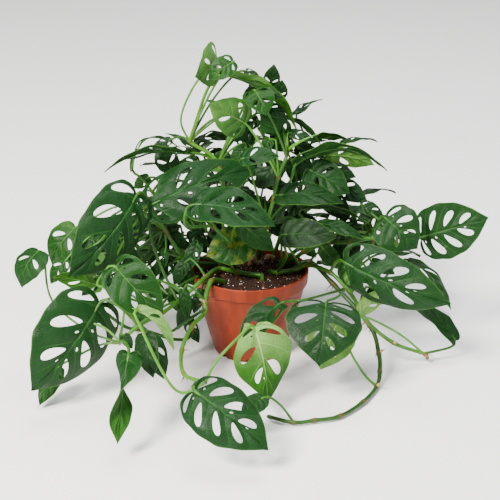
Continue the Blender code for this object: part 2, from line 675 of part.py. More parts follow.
def build_stub(name, stub, look):
    """An old stem cut off just above the soil."""
    (x, y), radius, height = stub
    low = SOIL_TOP - ROOT_DEPTH * 0.6
    line = [Vector((x, y, low)), Vector((x, y, SOIL_TOP)), Vector((x + 0.6, y - 0.4, SOIL_TOP + height))]
    made = object_from(name, *tube(line, [radius, radius, radius * 0.9], 8), look)
    smooth(made)
    return made


def main():
    clear_scene()
    plastic = material("terracotta_plastic", (0.42, 0.095, 0.035), 0.45)
    earth = material("potting_soil", (0.020, 0.011, 0.007), 0.95)
    wood = material("dry_stem", (0.20, 0.12, 0.06), 0.85)
    green = material("leaf_green", (0.035, 0.12, 0.03), 0.40)
    build_pot(plastic)
    build_soil(earth)
    for k, stub in enumerate(STUBS):
        build_stub(f"stub_{k + 1}", stub, wood)
    for stem in STEMS:
        smooth(build_stem(stem, green), 35.0)


main()
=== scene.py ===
import json
import math
import random

import bmesh
import bpy
import numpy as np
from mathutils import Matrix, Vector, noise
from mathutils.geometry import delaunay_2d_cdt

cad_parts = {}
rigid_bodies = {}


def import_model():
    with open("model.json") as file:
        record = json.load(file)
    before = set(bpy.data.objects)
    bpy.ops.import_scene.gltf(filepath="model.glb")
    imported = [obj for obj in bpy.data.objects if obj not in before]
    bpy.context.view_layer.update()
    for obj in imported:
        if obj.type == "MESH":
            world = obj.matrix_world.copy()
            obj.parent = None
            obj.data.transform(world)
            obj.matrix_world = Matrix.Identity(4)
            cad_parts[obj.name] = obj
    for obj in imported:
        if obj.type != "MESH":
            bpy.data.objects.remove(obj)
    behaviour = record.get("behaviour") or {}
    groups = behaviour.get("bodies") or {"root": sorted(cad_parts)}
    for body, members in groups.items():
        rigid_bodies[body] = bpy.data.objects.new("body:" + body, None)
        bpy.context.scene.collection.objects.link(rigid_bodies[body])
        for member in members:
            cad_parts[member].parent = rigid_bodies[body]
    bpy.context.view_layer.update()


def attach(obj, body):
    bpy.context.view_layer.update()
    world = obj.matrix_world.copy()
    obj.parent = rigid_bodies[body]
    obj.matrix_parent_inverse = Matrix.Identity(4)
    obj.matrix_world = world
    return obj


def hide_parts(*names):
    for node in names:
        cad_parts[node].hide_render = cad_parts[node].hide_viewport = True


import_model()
mm = 0.001  # in Blender's metres; a pattern's scale is 1000 over its size in millimetres
print("frame loaded")

# Every stem as it was grown: its route from the soil through its nodes, then its leaves.
# A leaf is name, node on the route, base, tip, facing azimuth and height, width, holes and tone
# (below 0 darker with painted shade, down to -0.5 for leaves deep in the plant; 0 old and bluish,
# 0.5 fresh, 1 pale and young). Where they differ from plainLeaf, arch, cup, twist and the bends of
# the stalk follow. Millimetres and degrees; width and arch are shares of the leaf's length.
leafKeys = ("name", "node", "base", "tip", "face", "width", "holes", "tone", "arch", "cup",
            "twist", "via")
plainLeaf = {"arch": 0.1, "cup": 0, "twist": 0, "via": []}

stemTable = {
    "trail_left": {
        "route": [(15, -20, 110), (-15, -10, 110), (-40, 2, 110), (-55, -50, 120), (-80, -85, 110),
                  (-105, -125, 105), (-130, -160, 105), (-150, -185, 95)],
        "leaves": [
            ("big_left", 6, (-175, -150, 130), (-255, -190, 35), (318, 20), 0.8, 7, 0.05, 0.08, -32),
            ("dark_low", 6, (-120, -195, 110), (-110, -215, 65), (250, 12), 0.6, 1, -0.2, 0.05, 5),
            ("twisted", 7, (-135, -235, 105), (-145, -295, 25), (255, 10), 0.42, 0, 0.2, 0.06, -25, 180),
            ("curl_far_left", 7, (-255, -75, 165), (-275, -95, 125), (235, 30),
             0.95, 2, 0.2, 0.2, -20, 0, [(-195, -120, 80), (-240, -95, 110)]),
            ("fan_left", 7, (-180, -100, 130), (-235, -110, 145), (90, 10),
             0.5, 4, 0.5, 0.08, -8, 0, [(-150, -125, 120)]),
            ("dark_low_2", 6, (-115, -170, 95), (-100, -180, 45), (270, 10), 0.5, 1, -0.1, 0.05),
            ("blue_left", 5, (-155, -50, 160), (-135, -55, 115), (262, 30),
             0.55, 2, 0, 0.1, 10, 0, [(-160, -95, 130), (-170, -70, 155)]),
            ("fresh_left", 6, (-155, -160, 180), (-100, -175, 120), (272, 25),
             0.68, 5, 0.35, 0.1, 14, 0, [(-155, -165, 150), (-175, -165, 160)]),
        ],
    },
    "left_arm": {
        "route": [(-47, 26, 106), (-80, -15, 130), (-105, -30, 175), (-120, -45, 210)],
        "leaves": [
            ("broad_left", 3, (-135, -70, 235), (-215, -120, 150), (322, 24), 0.68, 7, 0, 0.12, -32),
            ("broad_centre_left", 3, (-120, -50, 215), (10, -10, 250), (272, 42), 0.5, 6, 0, 0.1, -20),
            ("bright_left", 2, (-215, -35, 180), (-245, -45, 135), (250, 28),
             0.75, 2, 0.5, 0.2, 0, 0, [(-155, -25, 205)]),
            ("dark_left", 1, (-95, 15, 165), (-135, 10, 140), (265, 35), 0.55, 2, -0.3, 0.1, 10),
            ("narrow_left", 2, (-125, 5, 170), (-175, 10, 155), (270, 72), 0.5, 2, -0.2),
        ],
    },
    "upper_left": {
        "route": [(-32, 40, 106), (-65, 25, 145), (-100, 40, 180), (-125, 40, 200)],
        "leaves": [
            ("arched_left", 3, (-150, 45, 230), (-90, 70, 250), (100, 70), 0.42, 1, 0.45, 0.4, 15),
            ("window_left", 2, (-100, 45, 230), (-115, 60, 260), (255, 25), 0.85, 2, 0.15, 0.15),
            ("far_low_left", 1, (-180, 60, 140), (-230, 45, 115), (258, 35),
             0.6, 2, 0, 0.1, 0, 0, [(-130, 60, 125)]),
            ("soil_left", 1, (-80, 40, 125), (-115, 25, 105), (262, 30), 0.5, 1, -0.1),
            ("low_back_left", 2, (-145, 80, 135), (-210, 70, 110), (255, 45),
             0.6, 1, -0.1, 0.1, 0, 0, [(-120, 60, 165)]),
        ],
    },
    "top": {
        "route": [(-15, 55, 105), (-30, 15, 180), (-40, 20, 245), (-75, 15, 275)],
        "leaves": [
            ("top_pale", 3, (-40, 0, 385), (-65, -35, 370), (290, -15),
             1.25, 4, 0.85, 0.12, -10, 0, [(-85, 10, 305), (-70, 5, 345)]),
            ("top_long", 3, (-35, 15, 360), (60, 25, 285), (30, 46),
             0.42, 3, 0.55, 0.12, 50, 0, [(-55, 15, 335)]),
            ("top_window", 2, (5, 0, 345), (20, -25, 320), (275, 50),
             1.0, 4, 0.5, 0.15, 0, 0, [(-15, 10, 305)]),
            ("top_small", 1, (10, 55, 315), (5, 60, 355), (270, 20),
             0.5, 0, 0.3, 0.05, 0, 0, [(-5, 50, 255)]),
            ("long_left", 2, (-80, 15, 260), (-180, -15, 245), (92, 62), 0.58, 5, 0.1, 0.12, 8),
            ("pale_small", 1, (-30, 35, 235), (-70, 35, 240), (270, 40), 0.45, 0, 0.6),
            ("ragged_top", 2, (-70, 50, 265), (-15, 60, 260), (95, 55), 0.7, 2, 0.05, 0.15),
        ],
    },
    "centre": {
        "route": [(10, 35, 105), (20, -5, 170), (30, -10, 210), (35, -5, 235), (45, 0, 260)],
        "leaves": [
            ("inner_up", 2, (25, 25, 220), (-15, 40, 245), (270, 40), 0.75, 2, -0.15),
            ("inner_right", 1, (60, 20, 170), (95, 10, 150), (278, 40), 0.65, 2, -0.3),
            ("grey_right", 2, (35, -15, 215), (115, -30, 210), (280, 62), 0.5, 1, -0.15, 0.1, 10),
            ("long_right", 2, (60, 10, 250), (170, -10, 245), (92, 60),
             0.5, 4, 0.1, 0.2, 10, 0, [(50, 10, 225)]),
            ("light_top", 3, (-5, -10, 305), (-50, -25, 335), (285, 15),
             0.85, 3, 0.6, 0.1, 0, 0, [(15, -5, 275)]),
            ("blue_tip", 1, (-10, -55, 275), (35, -60, 280), (272, 55),
             0.6, 2, 0, 0.1, 5, 0, [(0, -40, 255)]),
        ],
    },
    "front_centre": {
        "route": [(-20, 20, 105), (-25, -40, 160), (-45, -55, 190), (-55, -60, 210)],
        "leaves": [
            ("broad_front", 2, (-65, -90, 230), (30, -110, 210), (272, 68),
             0.66, 7, 0, 0.1, 8, 0, [(-75, -95, 205), (-75, -95, 225)]),
            ("yellowing", 0, (0, -25, 160), (-55, -40, 145), (278, 32), 0.85, 0, 0.4, 0.05),
            ("soil_leaf", 1, (-10, -35, 185), (30, -50, 155), (262, 28), 0.6, 1, 0.3, 0.05, 10),
        ],
    },
    "trail_right": {
        "route": [(25, 5, 105), (35, -10, 110), (60, 0, 110), (75, -10, 120), (100, -35, 120),
                  (120, -50, 105), (135, -60, 85), (145, -60, 65), (180, -60, 35), (220, -50, 15)],
        "leaves": [
            ("solid_right", 1, (40, -60, 180), (105, -70, 180), (275, 48),
             0.62, 0, -0.4, 0.1, 8, 0, [(45, -40, 145)]),
            ("big_right", 4, (115, -75, 150), (240, -120, 115), (278, 0), 0.54, 7, 0.05, 0.1, -48),
            ("front_right", 5, (90, -130, 120), (80, -185, 65), (268, 42),
             1.15, 7, -0.1, 0.15, -10, 0, [(105, -110, 120)]),
            ("hanging_light", 5, (120, -65, 140), (125, -70, 105), (275, 10),
             0.6, 1, 0.7, 0.08, -10, 0, [(125, -55, 130)]),
            ("lone_right", 9, (260, -40, 30), (205, -10, 65), (255, 70),
             0.38, 0, 0, 0.15, 30, 0, [(250, -45, 20)]),
            ("under_right", 9, (135, -85, 90), (175, -80, 115), (95, 20),
             0.6, 1, 0.8, 0.1, 0, 0, [(190, -60, 45), (155, -70, 70)]),
            ("dark_front", 5, (35, -120, 115), (-10, -140, 55), (225, 25),
             0.52, 4, -0.2, 0.15, 30, 0, [(65, -130, 125)]),
        ],
    },
    "loop_right": {
        "route": [(54, 8, 106), (76, 6, 118), (105, -10, 95), (150, -50, 55), (160, -80, 30),
                  (160, -100, 15), (155, -120, 5), (135, -160, 5), (105, -195, 5), (75, -205, 5),
                  (50, -210, 5), (20, -195, 5)],
        "leaves": [
            ("under_front", 6, (105, -115, 90), (85, -135, 35), (88, -5),
             0.95, 6, 0.75, 0.08, -6, 0, [(140, -120, 20), (120, -120, 55)]),
            ("floor_front", 10, (15, -225, 45), (-10, -250, 35), (270, 60), 0.7, 0, 0.15, 0.05),
        ],
    },
    "loop_left": {
        "route": [(-34, -30, 106), (-48, -57, 118), (-55, -80, 100), (-55, -90, 90), (-70, -120, 85),
                  (-80, -165, 75), (-75, -215, 70), (-50, -245, 75)],
        "leaves": [
            ("bottom_leaf", 7, (-60, -285, 85), (20, -325, 35), (285, 35), 0.7, 8, 0, 0.06, -30),
            ("rolled_pale", 7, (-125, -225, 155), (-85, -225, 105), (60, 15),
             0.38, 2, 0.9, 0.12, 75, 0, [(-75, -260, 70), (-95, -255, 90)]),
            ("pale_front", 7, (5, -175, 110), (20, -205, 25), (40, -10),
             0.8, 5, 1.0, 0.06, 35, -120, [(-35, -235, 100)]),
            ("small_hang", 2, (-80, -100, 125), (-75, -110, 90), (270, 10), 0.4, 0, 0.2, 0.05),
        ],
    },
    "right_arm": {
        "route": [(50, 30, 105), (70, 0, 135), (100, -10, 150), (125, -20, 155), (155, -20, 160),
                  (185, -20, 150)],
        "leaves": [
            ("shield_right", 4, (165, -40, 195), (205, -55, 160), (262, 30), 1.1, 5, 0.1, 0.12),
            ("lone_far_right", 5, (215, -15, 160), (295, -25, 190), (272, 18), 0.82, 8, 0.15, 0.05, 4),
            ("edge_right", 2, (65, 5, 190), (150, -10, 175), (90, 62),
             0.5, 1, -0.2, 0.1, 10, 0, [(70, 5, 175)]),
            ("strap_right", 2, (85, -35, 185), (140, -50, 170), (282, 60), 0.35, 0, -0.1, 0.1, 10),
            ("light_low_right", 2, (90, -25, 150), (115, -25, 120), (268, 20), 0.55, 0, 0.55, 0.05),
            ("bright_far_right", 3, (150, 30, 150), (185, 30, 170), (265, 25), 0.7, 2, 0.55),
            ("dark_low_right", 3, (120, 15, 155), (130, 5, 115), (268, 15), 0.85, 2, -0.3),
        ],
    },
    "upper_right": {
        "route": [(30, 50, 105), (45, 40, 155), (65, 60, 185), (85, 75, 215)],
        "leaves": [
            ("bright_back", 3, (100, 70, 240), (160, 60, 230), (100, 25), 0.62, 2, 0.6),
            ("deep_right", 2, (95, 60, 190), (130, 45, 160), (272, 35), 0.65, 2, -0.35),
            ("tuft_right", 3, (80, 65, 260), (125, 60, 265), (95, 50), 0.6, 1, 0.1, 0.1, 10),
            ("right_window", 2, (110, 45, 210), (150, 30, 190), (268, 38), 0.62, 2, -0.2, 0.08),
            ("ridge", 3, (40, 55, 295), (90, 50, 260), (60, 60), 0.5, 1, 0.15, 0.1, 20, 0, [(65, 70, 245)]),
            ("centre_top", 2, (40, 25, 270), (15, 20, 320), (272, 30),
             0.7, 2, 0.3, 0.1, 0, 0, [(55, 45, 235)]),
            ("glossy_right", 2, (75, 25, 235), (125, 5, 210), (265, 35), 0.75, 2, 0.1, 0.08, 5),
        ],
    },
    "back_left": {
        "route": [(-25, 30, 106), (-45, 72, 122), (-70, 110, 110), (-105, 150, 70), (-135, 180, 25)],
        "leaves": [
            ("back_left_high", 2, (-120, 100, 165), (-190, 130, 120), (160, 55), 0.64, 2, 0.1, 0.1, 5),
            ("back_left_rear", 3, (-100, 175, 130), (-125, 235, 65), (110, 40), 0.66, 2, 0.2, 0.1, 5),
            ("back_left_low", 4, (-170, 195, 70), (-240, 170, 15), (190, 50), 0.6, 2, 0.35, 0.1, 5),
        ],
    },
    "back_centre": {
        "route": [(5, 38, 106), (8, 74, 124), (15, 115, 120), (25, 160, 85), (30, 190, 45)],
        "leaves": [
            ("back_high", 2, (-25, 115, 190), (-45, 175, 130), (100, 50), 0.66, 2, 0.05, 0.1, 5),
            ("back_rear", 3, (60, 155, 150), (70, 225, 95), (80, 45), 0.66, 2, 0.25, 0.1, 5),
            ("back_low", 4, (0, 195, 90), (-15, 235, 12), (100, 35), 0.6, 2, 0.1, 0.1, 5),
        ],
    },
    "back_right": {
        "route": [(38, 25, 106), (68, 45, 122), (105, 75, 108), (145, 105, 65), (175, 130, 22)],
        "leaves": [
            ("back_right_high", 2, (125, 75, 165), (200, 100, 120), (30, 60), 0.64, 2, 0.15, 0.1, 5),
            ("back_right_rear", 3, (125, 150, 115), (160, 225, 55), (75, 40), 0.66, 2, 0.1, 0.1, 5),
            ("back_right_low", 4, (220, 130, 70), (275, 90, 12), (350, 45), 0.6, 2, 0.3, 0.1, 5),
        ],
    },
}

# Small leaves inside the crown, which only this file shows, written as above; most get tones below 0,
# painted shade
innerLeaves = {
    "trail_left": [
        ("under_big", 7, (-230, -140, 40), (-250, -170, 5), (258, 20),
         0.5, 0, 0.5, 0.08, -20, 0, [(-180, -140, 70)]),
        ("tiny_node", 7, (-145, -185, 105), (-135, -190, 90), (270, 20), 0.7, 0, -0.1),
        ("small7", 4, (-135, -50, 115), (-100, -60, 95), (270, 30), 0.55, 2, -0.2),
        ("small8", 4, (-100, -50, 105), (-80, -55, 70), (270, 30), 0.5, 1, 0.35),
        ("small10", 5, (-175, -80, 140), (-205, -85, 110), (262, 20), 0.5, 3, 0.45),
        ("small55", 3, (-80, -35, 135), (-95, -40, 105), (262, 25), 0.5, 2, -0.15),
        ("small58", 3, (-60, -55, 105), (-70, -60, 75), (265, 15), 0.45, 1, 0.0),
    ],
    "left_arm": [
        ("shadow_left", 2, (-130, 25, 170), (-165, 30, 160), (250, 60), 0.42, 1, -0.2, 0.12),
        ("shadow_left_2", 1, (-125, 40, 160), (-105, 30, 135), (268, 35), 0.6, 2, -0.15),
        ("shadow_left_3", 1, (-160, -10, 145), (-195, -25, 130), (262, 40),
         0.5, 2, -0.25, 0.1, 0, 0, [(-125, -5, 140)]),
        ("shadow_left_4", 1, (-120, 0, 135), (-150, -5, 115), (262, 45), 0.55, 1, -0.1),
        ("small0", 3, (-170, -60, 145), (-220, -65, 125), (265, 35), 0.6, 6, 0.6),
        ("small1", 2, (-160, -20, 160), (-200, -25, 145), (262, 40), 0.55, 3, 0.0),
        ("small3", 2, (-125, 0, 160), (-85, -5, 170), (270, 50), 0.5, 3, -0.2, 0.12),
        ("small5", 1, (-100, -30, 130), (-130, -35, 105), (262, 30), 0.6, 3, 0.0),
        ("small6", 1, (-90, -25, 130), (-70, -30, 100), (275, 30), 0.55, 2, 0.4),
        ("small9", 3, (-190, -40, 160), (-225, -45, 140), (265, 40), 0.6, 4, 0.5),
        ("small11", 3, (-220, -90, 160), (-240, -95, 130), (250, 30), 0.6, 3, 0.35),
        ("small13", 1, (-65, -25, 155), (-80, -35, 120), (262, 30), 0.5, 1, 0.0),
        ("small53", 2, (-150, -35, 150), (-170, -40, 125), (262, 30), 0.55, 3, -0.1),
        ("small54", 2, (-115, -15, 150), (-125, -20, 125), (262, 30), 0.5, 2, -0.05),
        ("small56", 3, (-180, -15, 180), (-195, -20, 160), (262, 40), 0.5, 2, -0.1),
        ("small60", 1, (-100, -5, 165), (-80, -10, 140), (270, 35), 0.5, 3, -0.15),
        ("small61", 1, (-125, 5, 125), (-150, -5, 110), (262, 30), 0.5, 2, -0.05),
        ("small62", 1, (-95, -5, 115), (-80, -10, 85), (270, 25), 0.5, 2, -0.1),
        ("small63", 2, (-135, -30, 130), (-155, -35, 100), (262, 20), 0.5, 3, -0.15),
        ("small65", 2, (-160, -50, 125), (-180, -55, 105), (262, 30), 0.5, 3, 0.0),
        ("small66", 1, (-80, -20, 50), (-65, -30, 20), (268, 15), 0.5, 2, -0.15),
        ("small67", 1, (-125, -50, 90), (-140, -55, 55), (262, 15), 0.45, 2, -0.1),
        ("small68", 2, (-105, -40, 150), (-115, -45, 120), (265, 30), 0.45, 2, 0.0),
    ],
    "upper_left": [
        ("inner_left_1", 1, (-85, 55, 165), (-55, 50, 140), (272, 35), 0.7, 1, -0.2),
        ("inner_left_2", 2, (-105, 55, 200), (-75, 60, 210), (95, 65), 0.6, 2, -0.1, 0.12),
        ("inner_left_3", 2, (-130, 55, 215), (-150, 55, 200), (262, 35), 0.7, 1, 0.35),
        ("inner_left_4", 1, (-55, 45, 170), (-35, 40, 150), (272, 30), 0.7, 2, -0.15),
        ("small2", 2, (-155, 25, 150), (-115, 20, 165), (275, 55), 0.5, 2, -0.15),
        ("small4", 2, (-110, 15, 145), (-70, 10, 125), (270, 40), 0.6, 3, -0.15),
        ("small12", 1, (-75, 20, 155), (-55, 15, 125), (270, 40), 0.6, 2, -0.1),
        ("small17", 2, (-65, 50, 240), (-95, 40, 225), (262, 40), 0.6, 2, 0.0),
        ("small46", 3, (-125, 20, 190), (-155, 15, 180), (262, 50), 0.5, 2, -0.15),
        ("small47", 2, (-95, 30, 185), (-115, 25, 165), (262, 40), 0.6, 2, -0.1),
        ("small59", 2, (-115, 30, 165), (-130, 25, 140), (262, 40), 0.5, 2, -0.1),
        ("small69", 2, (-95, 120, 200), (-150, 150, 200), (110, 60), 0.62, 3, -0.15),
        ("small75", 3, (-150, 80, 180), (-200, 95, 170), (150, 50), 0.62, 3, -0.1),
        ("small84", 3, (-70, 60, 250), (-110, 85, 265), (130, 55), 0.62, 3, -0.15),
    ],
    "top": [
        ("dark_hole", 1, (0, 30, 265), (-20, 30, 290), (275, 30), 0.75, 2, -0.05),
        ("light_mid", 2, (-5, 10, 270), (-25, 5, 250), (262, 35), 0.6, 1, 0.35, 0.12, -10),
        ("small_mid", 2, (-45, 30, 240), (-30, 30, 260), (280, 30), 0.7, 0, 0.35),
        ("small14", 3, (-100, 40, 270), (-125, 35, 255), (265, 45), 0.5, 3, -0.1, 0.12),
        ("small15", 3, (-75, 35, 255), (-45, 30, 270), (275, 50), 0.5, 4, -0.2, 0.12),
        ("small16", 1, (-55, 50, 250), (-20, 40, 245), (275, 55), 0.5, 3, -0.15),
        ("small18", 2, (-35, 10, 240), (0, 5, 230), (275, 45), 0.6, 2, -0.1),
        ("small19", 1, (-45, 30, 225), (-70, 25, 215), (262, 45), 0.6, 2, -0.15),
        ("small20", 2, (15, 40, 305), (40, 35, 295), (275, 35), 0.6, 3, 0.35),
        ("small22", 3, (20, 20, 320), (45, 15, 305), (300, 20), 0.6, 2, -0.15),
        ("small23", 2, (10, 45, 295), (-15, 40, 280), (262, 30), 0.6, 2, -0.1),
        ("small28", 1, (0, 50, 200), (-20, 40, 175), (262, 30), 0.7, 1, -0.2),
        ("small45", 1, (-30, 35, 180), (-50, 25, 160), (262, 40), 0.7, 1, -0.2),
        ("small48", 3, (-20, -20, 385), (-50, -25, 365), (262, 25), 0.75, 4, 0.5),
        ("small49", 3, (-5, 35, 360), (15, 30, 345), (300, 40), 0.5, 3, -0.15),
        ("small50", 2, (25, 55, 335), (30, 50, 365), (275, 15), 0.7, 2, -0.2),
        ("small52", 2, (10, 50, 335), (-10, 45, 320), (262, 30), 0.6, 2, -0.15),
        ("small73", 3, (-20, 120, 280), (-60, 150, 290), (110, 50), 0.62, 2, 0.4),
    ],
    "centre": [
        ("core_1", 1, (55, 40, 185), (20, 35, 160), (265, 40), 0.75, 2, -0.25),
        ("core_2", 2, (35, 20, 250), (10, 10, 215), (265, 30), 0.8, 2, -0.25),
        ("core_3", 1, (15, 30, 195), (0, 30, 165), (262, 30), 0.8, 2, -0.2),
        ("core_4", 1, (5, 20, 180), (-20, 10, 155), (262, 35), 0.75, 1, -0.15),
        ("fresh_mid", 3, (15, 50, 285), (45, 45, 275), (275, 50), 0.7, 1, 0.45, 0.12),
        ("fresh_mid_2", 3, (25, 10, 280), (15, 5, 265), (270, 40), 0.8, 1, 0.4),
        ("small21", 4, (10, 5, 340), (40, 0, 335), (300, 30), 0.6, 2, -0.2),
        ("small24", 3, (25, 45, 270), (55, 40, 255), (275, 40), 0.7, 2, -0.2),
        ("small25", 4, (50, 20, 285), (80, 15, 275), (285, 45), 0.5, 2, -0.15),
        ("small26", 4, (65, 50, 255), (95, 40, 245), (285, 50), 0.5, 1, -0.2),
        ("small51", 4, (35, 55, 320), (40, 50, 345), (280, 15), 0.8, 2, -0.2),
    ],
    "upper_right": [
        ("olive_mid", 2, (65, 70, 235), (55, 60, 205), (270, 25), 1.0, 0, 0.0),
        ("strip_small", 2, (90, 30, 205), (120, 20, 190), (275, 50), 0.4, 0, -0.1),
        ("dark_right_2", 3, (60, 60, 255), (85, 55, 240), (275, 40), 0.8, 2, -0.2),
        ("dark_right_3", 1, (50, 40, 165), (75, 40, 140), (270, 30), 0.7, 1, -0.2),
        ("small27", 2, (15, 45, 220), (45, 35, 205), (270, 35), 0.7, 2, -0.25),
        ("small29", 2, (45, 55, 190), (20, 45, 165), (265, 30), 0.7, 1, -0.25),
        ("small30", 2, (65, 55, 170), (40, 45, 145), (265, 30), 0.7, 0, -0.2),
        ("small31", 1, (25, 55, 155), (50, 50, 135), (275, 25), 0.7, 0, -0.25),
        ("small34", 3, (100, 45, 230), (135, 40, 220), (280, 40), 0.6, 2, -0.2),
        ("small35", 3, (85, 30, 215), (115, 25, 205), (280, 40), 0.6, 3, -0.2),
        ("small36", 2, (95, 40, 185), (130, 30, 175), (280, 45), 0.5, 2, -0.25),
        ("small71", 3, (30, 140, 230), (60, 185, 215), (80, 50), 0.62, 3, -0.2),
        ("small74", 2, (150, 120, 170), (200, 150, 160), (50, 50), 0.62, 3, -0.15),
        ("small77", 2, (120, 60, 260), (165, 80, 255), (40, 55), 0.62, 2, -0.2),
        ("small80", 3, (60, 90, 290), (95, 120, 300), (60, 50), 0.62, 2, 0.0),
    ],
    "right_arm": [
        ("shade_right_1", 2, (130, 20, 165), (160, 20, 180), (275, 40), 0.6, 2, -0.2),
        ("shade_right_2", 3, (155, 0, 150), (180, -5, 135), (272, 30), 0.6, 1, -0.1),
        ("shade_right_3", 2, (110, 30, 145), (130, 25, 125), (270, 30), 0.7, 0, -0.15),
        ("small37", 2, (115, 30, 165), (145, 20, 155), (280, 45), 0.5, 1, -0.2),
        ("small39", 5, (140, 20, 190), (170, 15, 175), (280, 40), 0.6, 3, -0.2),
        ("small40", 2, (100, 0, 135), (130, -5, 120), (275, 30), 0.6, 0, 0.0),
        ("small41", 1, (65, 20, 140), (85, 15, 120), (272, 30), 0.6, 0, 0.4),
        ("small42", 3, (125, -20, 130), (150, -25, 100), (270, 30), 0.6, 2, 0.5),
        ("small43", 4, (155, 0, 120), (185, -5, 105), (275, 30), 0.5, 1, 0.0),
        ("small78", 5, (190, 40, 140), (235, 60, 125), (20, 50), 0.62, 2, 0.0),
    ],
    "trail_right": [
        ("tiny_right", 6, (150, -60, 110), (165, -65, 90), (262, 25), 0.8, 0, 0.35),
    ],
    "back_left": [
        ("back_left_1", 2, (-75, 105, 150), (-95, 165, 150), (100, 60), 0.66, 2, -0.2, 0.1, 5),
        ("back_left_2", 3, (-150, 130, 100), (-205, 175, 85), (140, 50), 0.64, 2, -0.05, 0.1, 5),
        ("back_left_3", 1, (-50, 85, 165), (-105, 110, 195), (110, 60), 0.64, 2, 0.0, 0.1, 5),
        ("small33", 1, (-35, 50, 150), (-55, 40, 125), (262, 30), 0.7, 1, -0.2),
        ("small70", 2, (-60, 140, 130), (-90, 195, 110), (100, 45), 0.62, 4, 0.0),
        ("small76", 2, (-180, 60, 110), (-225, 90, 95), (160, 45), 0.62, 2, 0.35),
        ("small81", 2, (-110, 110, 100), (-160, 140, 70), (120, 40), 0.62, 2, -0.05),
    ],
    "back_centre": [
        ("back_centre_1", 1, (20, 85, 200), (45, 135, 205), (90, 60), 0.66, 2, -0.15, 0.1, 5),
        ("back_centre_2", 3, (-15, 160, 130), (-55, 205, 95), (100, 45), 0.64, 2, -0.25, 0.1, 5),
        ("back_centre_3", 2, (10, 105, 255), (-5, 150, 225), (95, 40),
         0.66, 2, 0.4, 0.1, 5, 0, [(-15, 75, 215)]),
        ("small32", 1, (-15, 50, 155), (10, 45, 135), (270, 25), 0.7, 0, -0.2),
        ("small72", 2, (70, 130, 130), (110, 185, 110), (70, 40), 0.62, 4, -0.05),
        ("small79", 3, (0, 185, 100), (10, 225, 70), (90, 30), 0.62, 2, -0.1),
        ("small83", 2, (-10, 100, 130), (-25, 150, 110), (95, 50), 0.62, 2, -0.2),
    ],
    "back_right": [
        ("back_right_1", 2, (120, 100, 150), (145, 150, 135), (60, 55), 0.66, 2, -0.1, 0.1, 5),
        ("back_right_2", 3, (185, 95, 95), (235, 140, 70), (40, 50), 0.64, 2, 0.35, 0.1, 5),
        ("back_right_3", 1, (80, 70, 200), (120, 115, 225), (60, 60), 0.64, 2, -0.2, 0.1, 5),
        ("small82", 2, (100, 90, 80), (140, 130, 50), (50, 40), 0.62, 2, -0.1),
    ],
    "loop_right": [
        ("small38", 1, (130, 25, 145), (160, 20, 135), (280, 40), 0.5, 2, -0.1),
    ],
    "loop_left": [
        ("small57", 2, (-75, -60, 95), (-90, -65, 55), (262, 20), 0.4, 1, -0.2),
    ],
}

# Bare stalks whose leaves are hidden or gone: points, radius, age
bareStalks = {
    "left_arm": [
        ([(-30, 25, 100), (-55, 30, 113), (-80, 18, 112), (-84, 2, 75), (-76, -22, 30), (-95, -50, 35),
          (-125, -80, 60), (-150, -100, 75), (-175, -110, 100)], 2.1, 0.75),
        ([(-125, -40, 200), (-120, -45, 165), (-105, -55, 125), (-90, -70, 100)], 1.8, 0.7),
        ([(-115, 40, 165), (-140, 35, 175), (-160, 30, 180)], 1.4, 0.15),
        ([(-145, -40, 170), (-135, -50, 150), (-120, -65, 125), (-100, -80, 110)], 1.7, 0.7),
        ([(-65, -35, 115), (-85, -50, 110), (-105, -65, 95), (-115, -80, 80)], 1.6, 0.75),
    ],
    "loop_left": [
        ([(-55, -90, 95), (-75, -100, 85), (-95, -100, 70), (-120, -115, 65)], 1.8, 0.7),
        ([(-80, -65, 95), (-100, -75, 95), (-120, -85, 85), (-145, -95, 70)], 1.6, 0.45),
    ],
    "trail_left": [
        ([(-20, -5, 110), (-35, 25, 130), (-55, 30, 150), (-60, 35, 160)], 1.7, 0.35),
        ([(-135, -90, 105), (-155, -100, 115), (-180, -110, 115)], 1.5, 0.5),
        ([(-150, -190, 100), (-165, -180, 110), (-180, -175, 115)], 1.5, 0.2),
    ],
    "right_arm": [
        ([(65, 5, 110), (55, 0, 130), (45, 10, 145), (40, 20, 160)], 1.7, 0.3),
    ],
    "centre": [
        ([(40, 5, 110), (40, 5, 135), (40, 20, 160)], 1.6, 0.4),
        ([(15, 45, 125), (15, 45, 150), (15, 40, 175)], 1.5, 0.35),
        ([(25, 45, 125), (25, 45, 145), (30, 40, 170)], 1.5, 0.2),
    ],
    "top": [
        ([(-35, 20, 145), (-35, 20, 170), (-40, 20, 190)], 1.6, 0.3),
        ([(-25, 40, 130), (-25, 40, 160), (-25, 40, 190)], 1.6, 0.45),
        ([(-15, 35, 135), (-10, 35, 160), (-10, 30, 185)], 1.5, 0.2),
    ],
    "upper_right": [
        ([(60, 30, 125), (70, 30, 145), (80, 25, 165)], 1.5, 0.35),
    ],
    "upper_left": [
        ([(-85, 30, 150), (-95, 20, 135), (-105, 0, 120), (-115, -15, 100)], 1.5, 0.6),
        ([(-70, 25, 125), (-90, 5, 120), (-115, -10, 115), (-140, -25, 110)], 1.6, 0.45),
        ([(-105, -10, 175), (-110, -20, 155), (-125, -35, 140), (-150, -50, 130)], 1.5, 0.6),
    ],
}

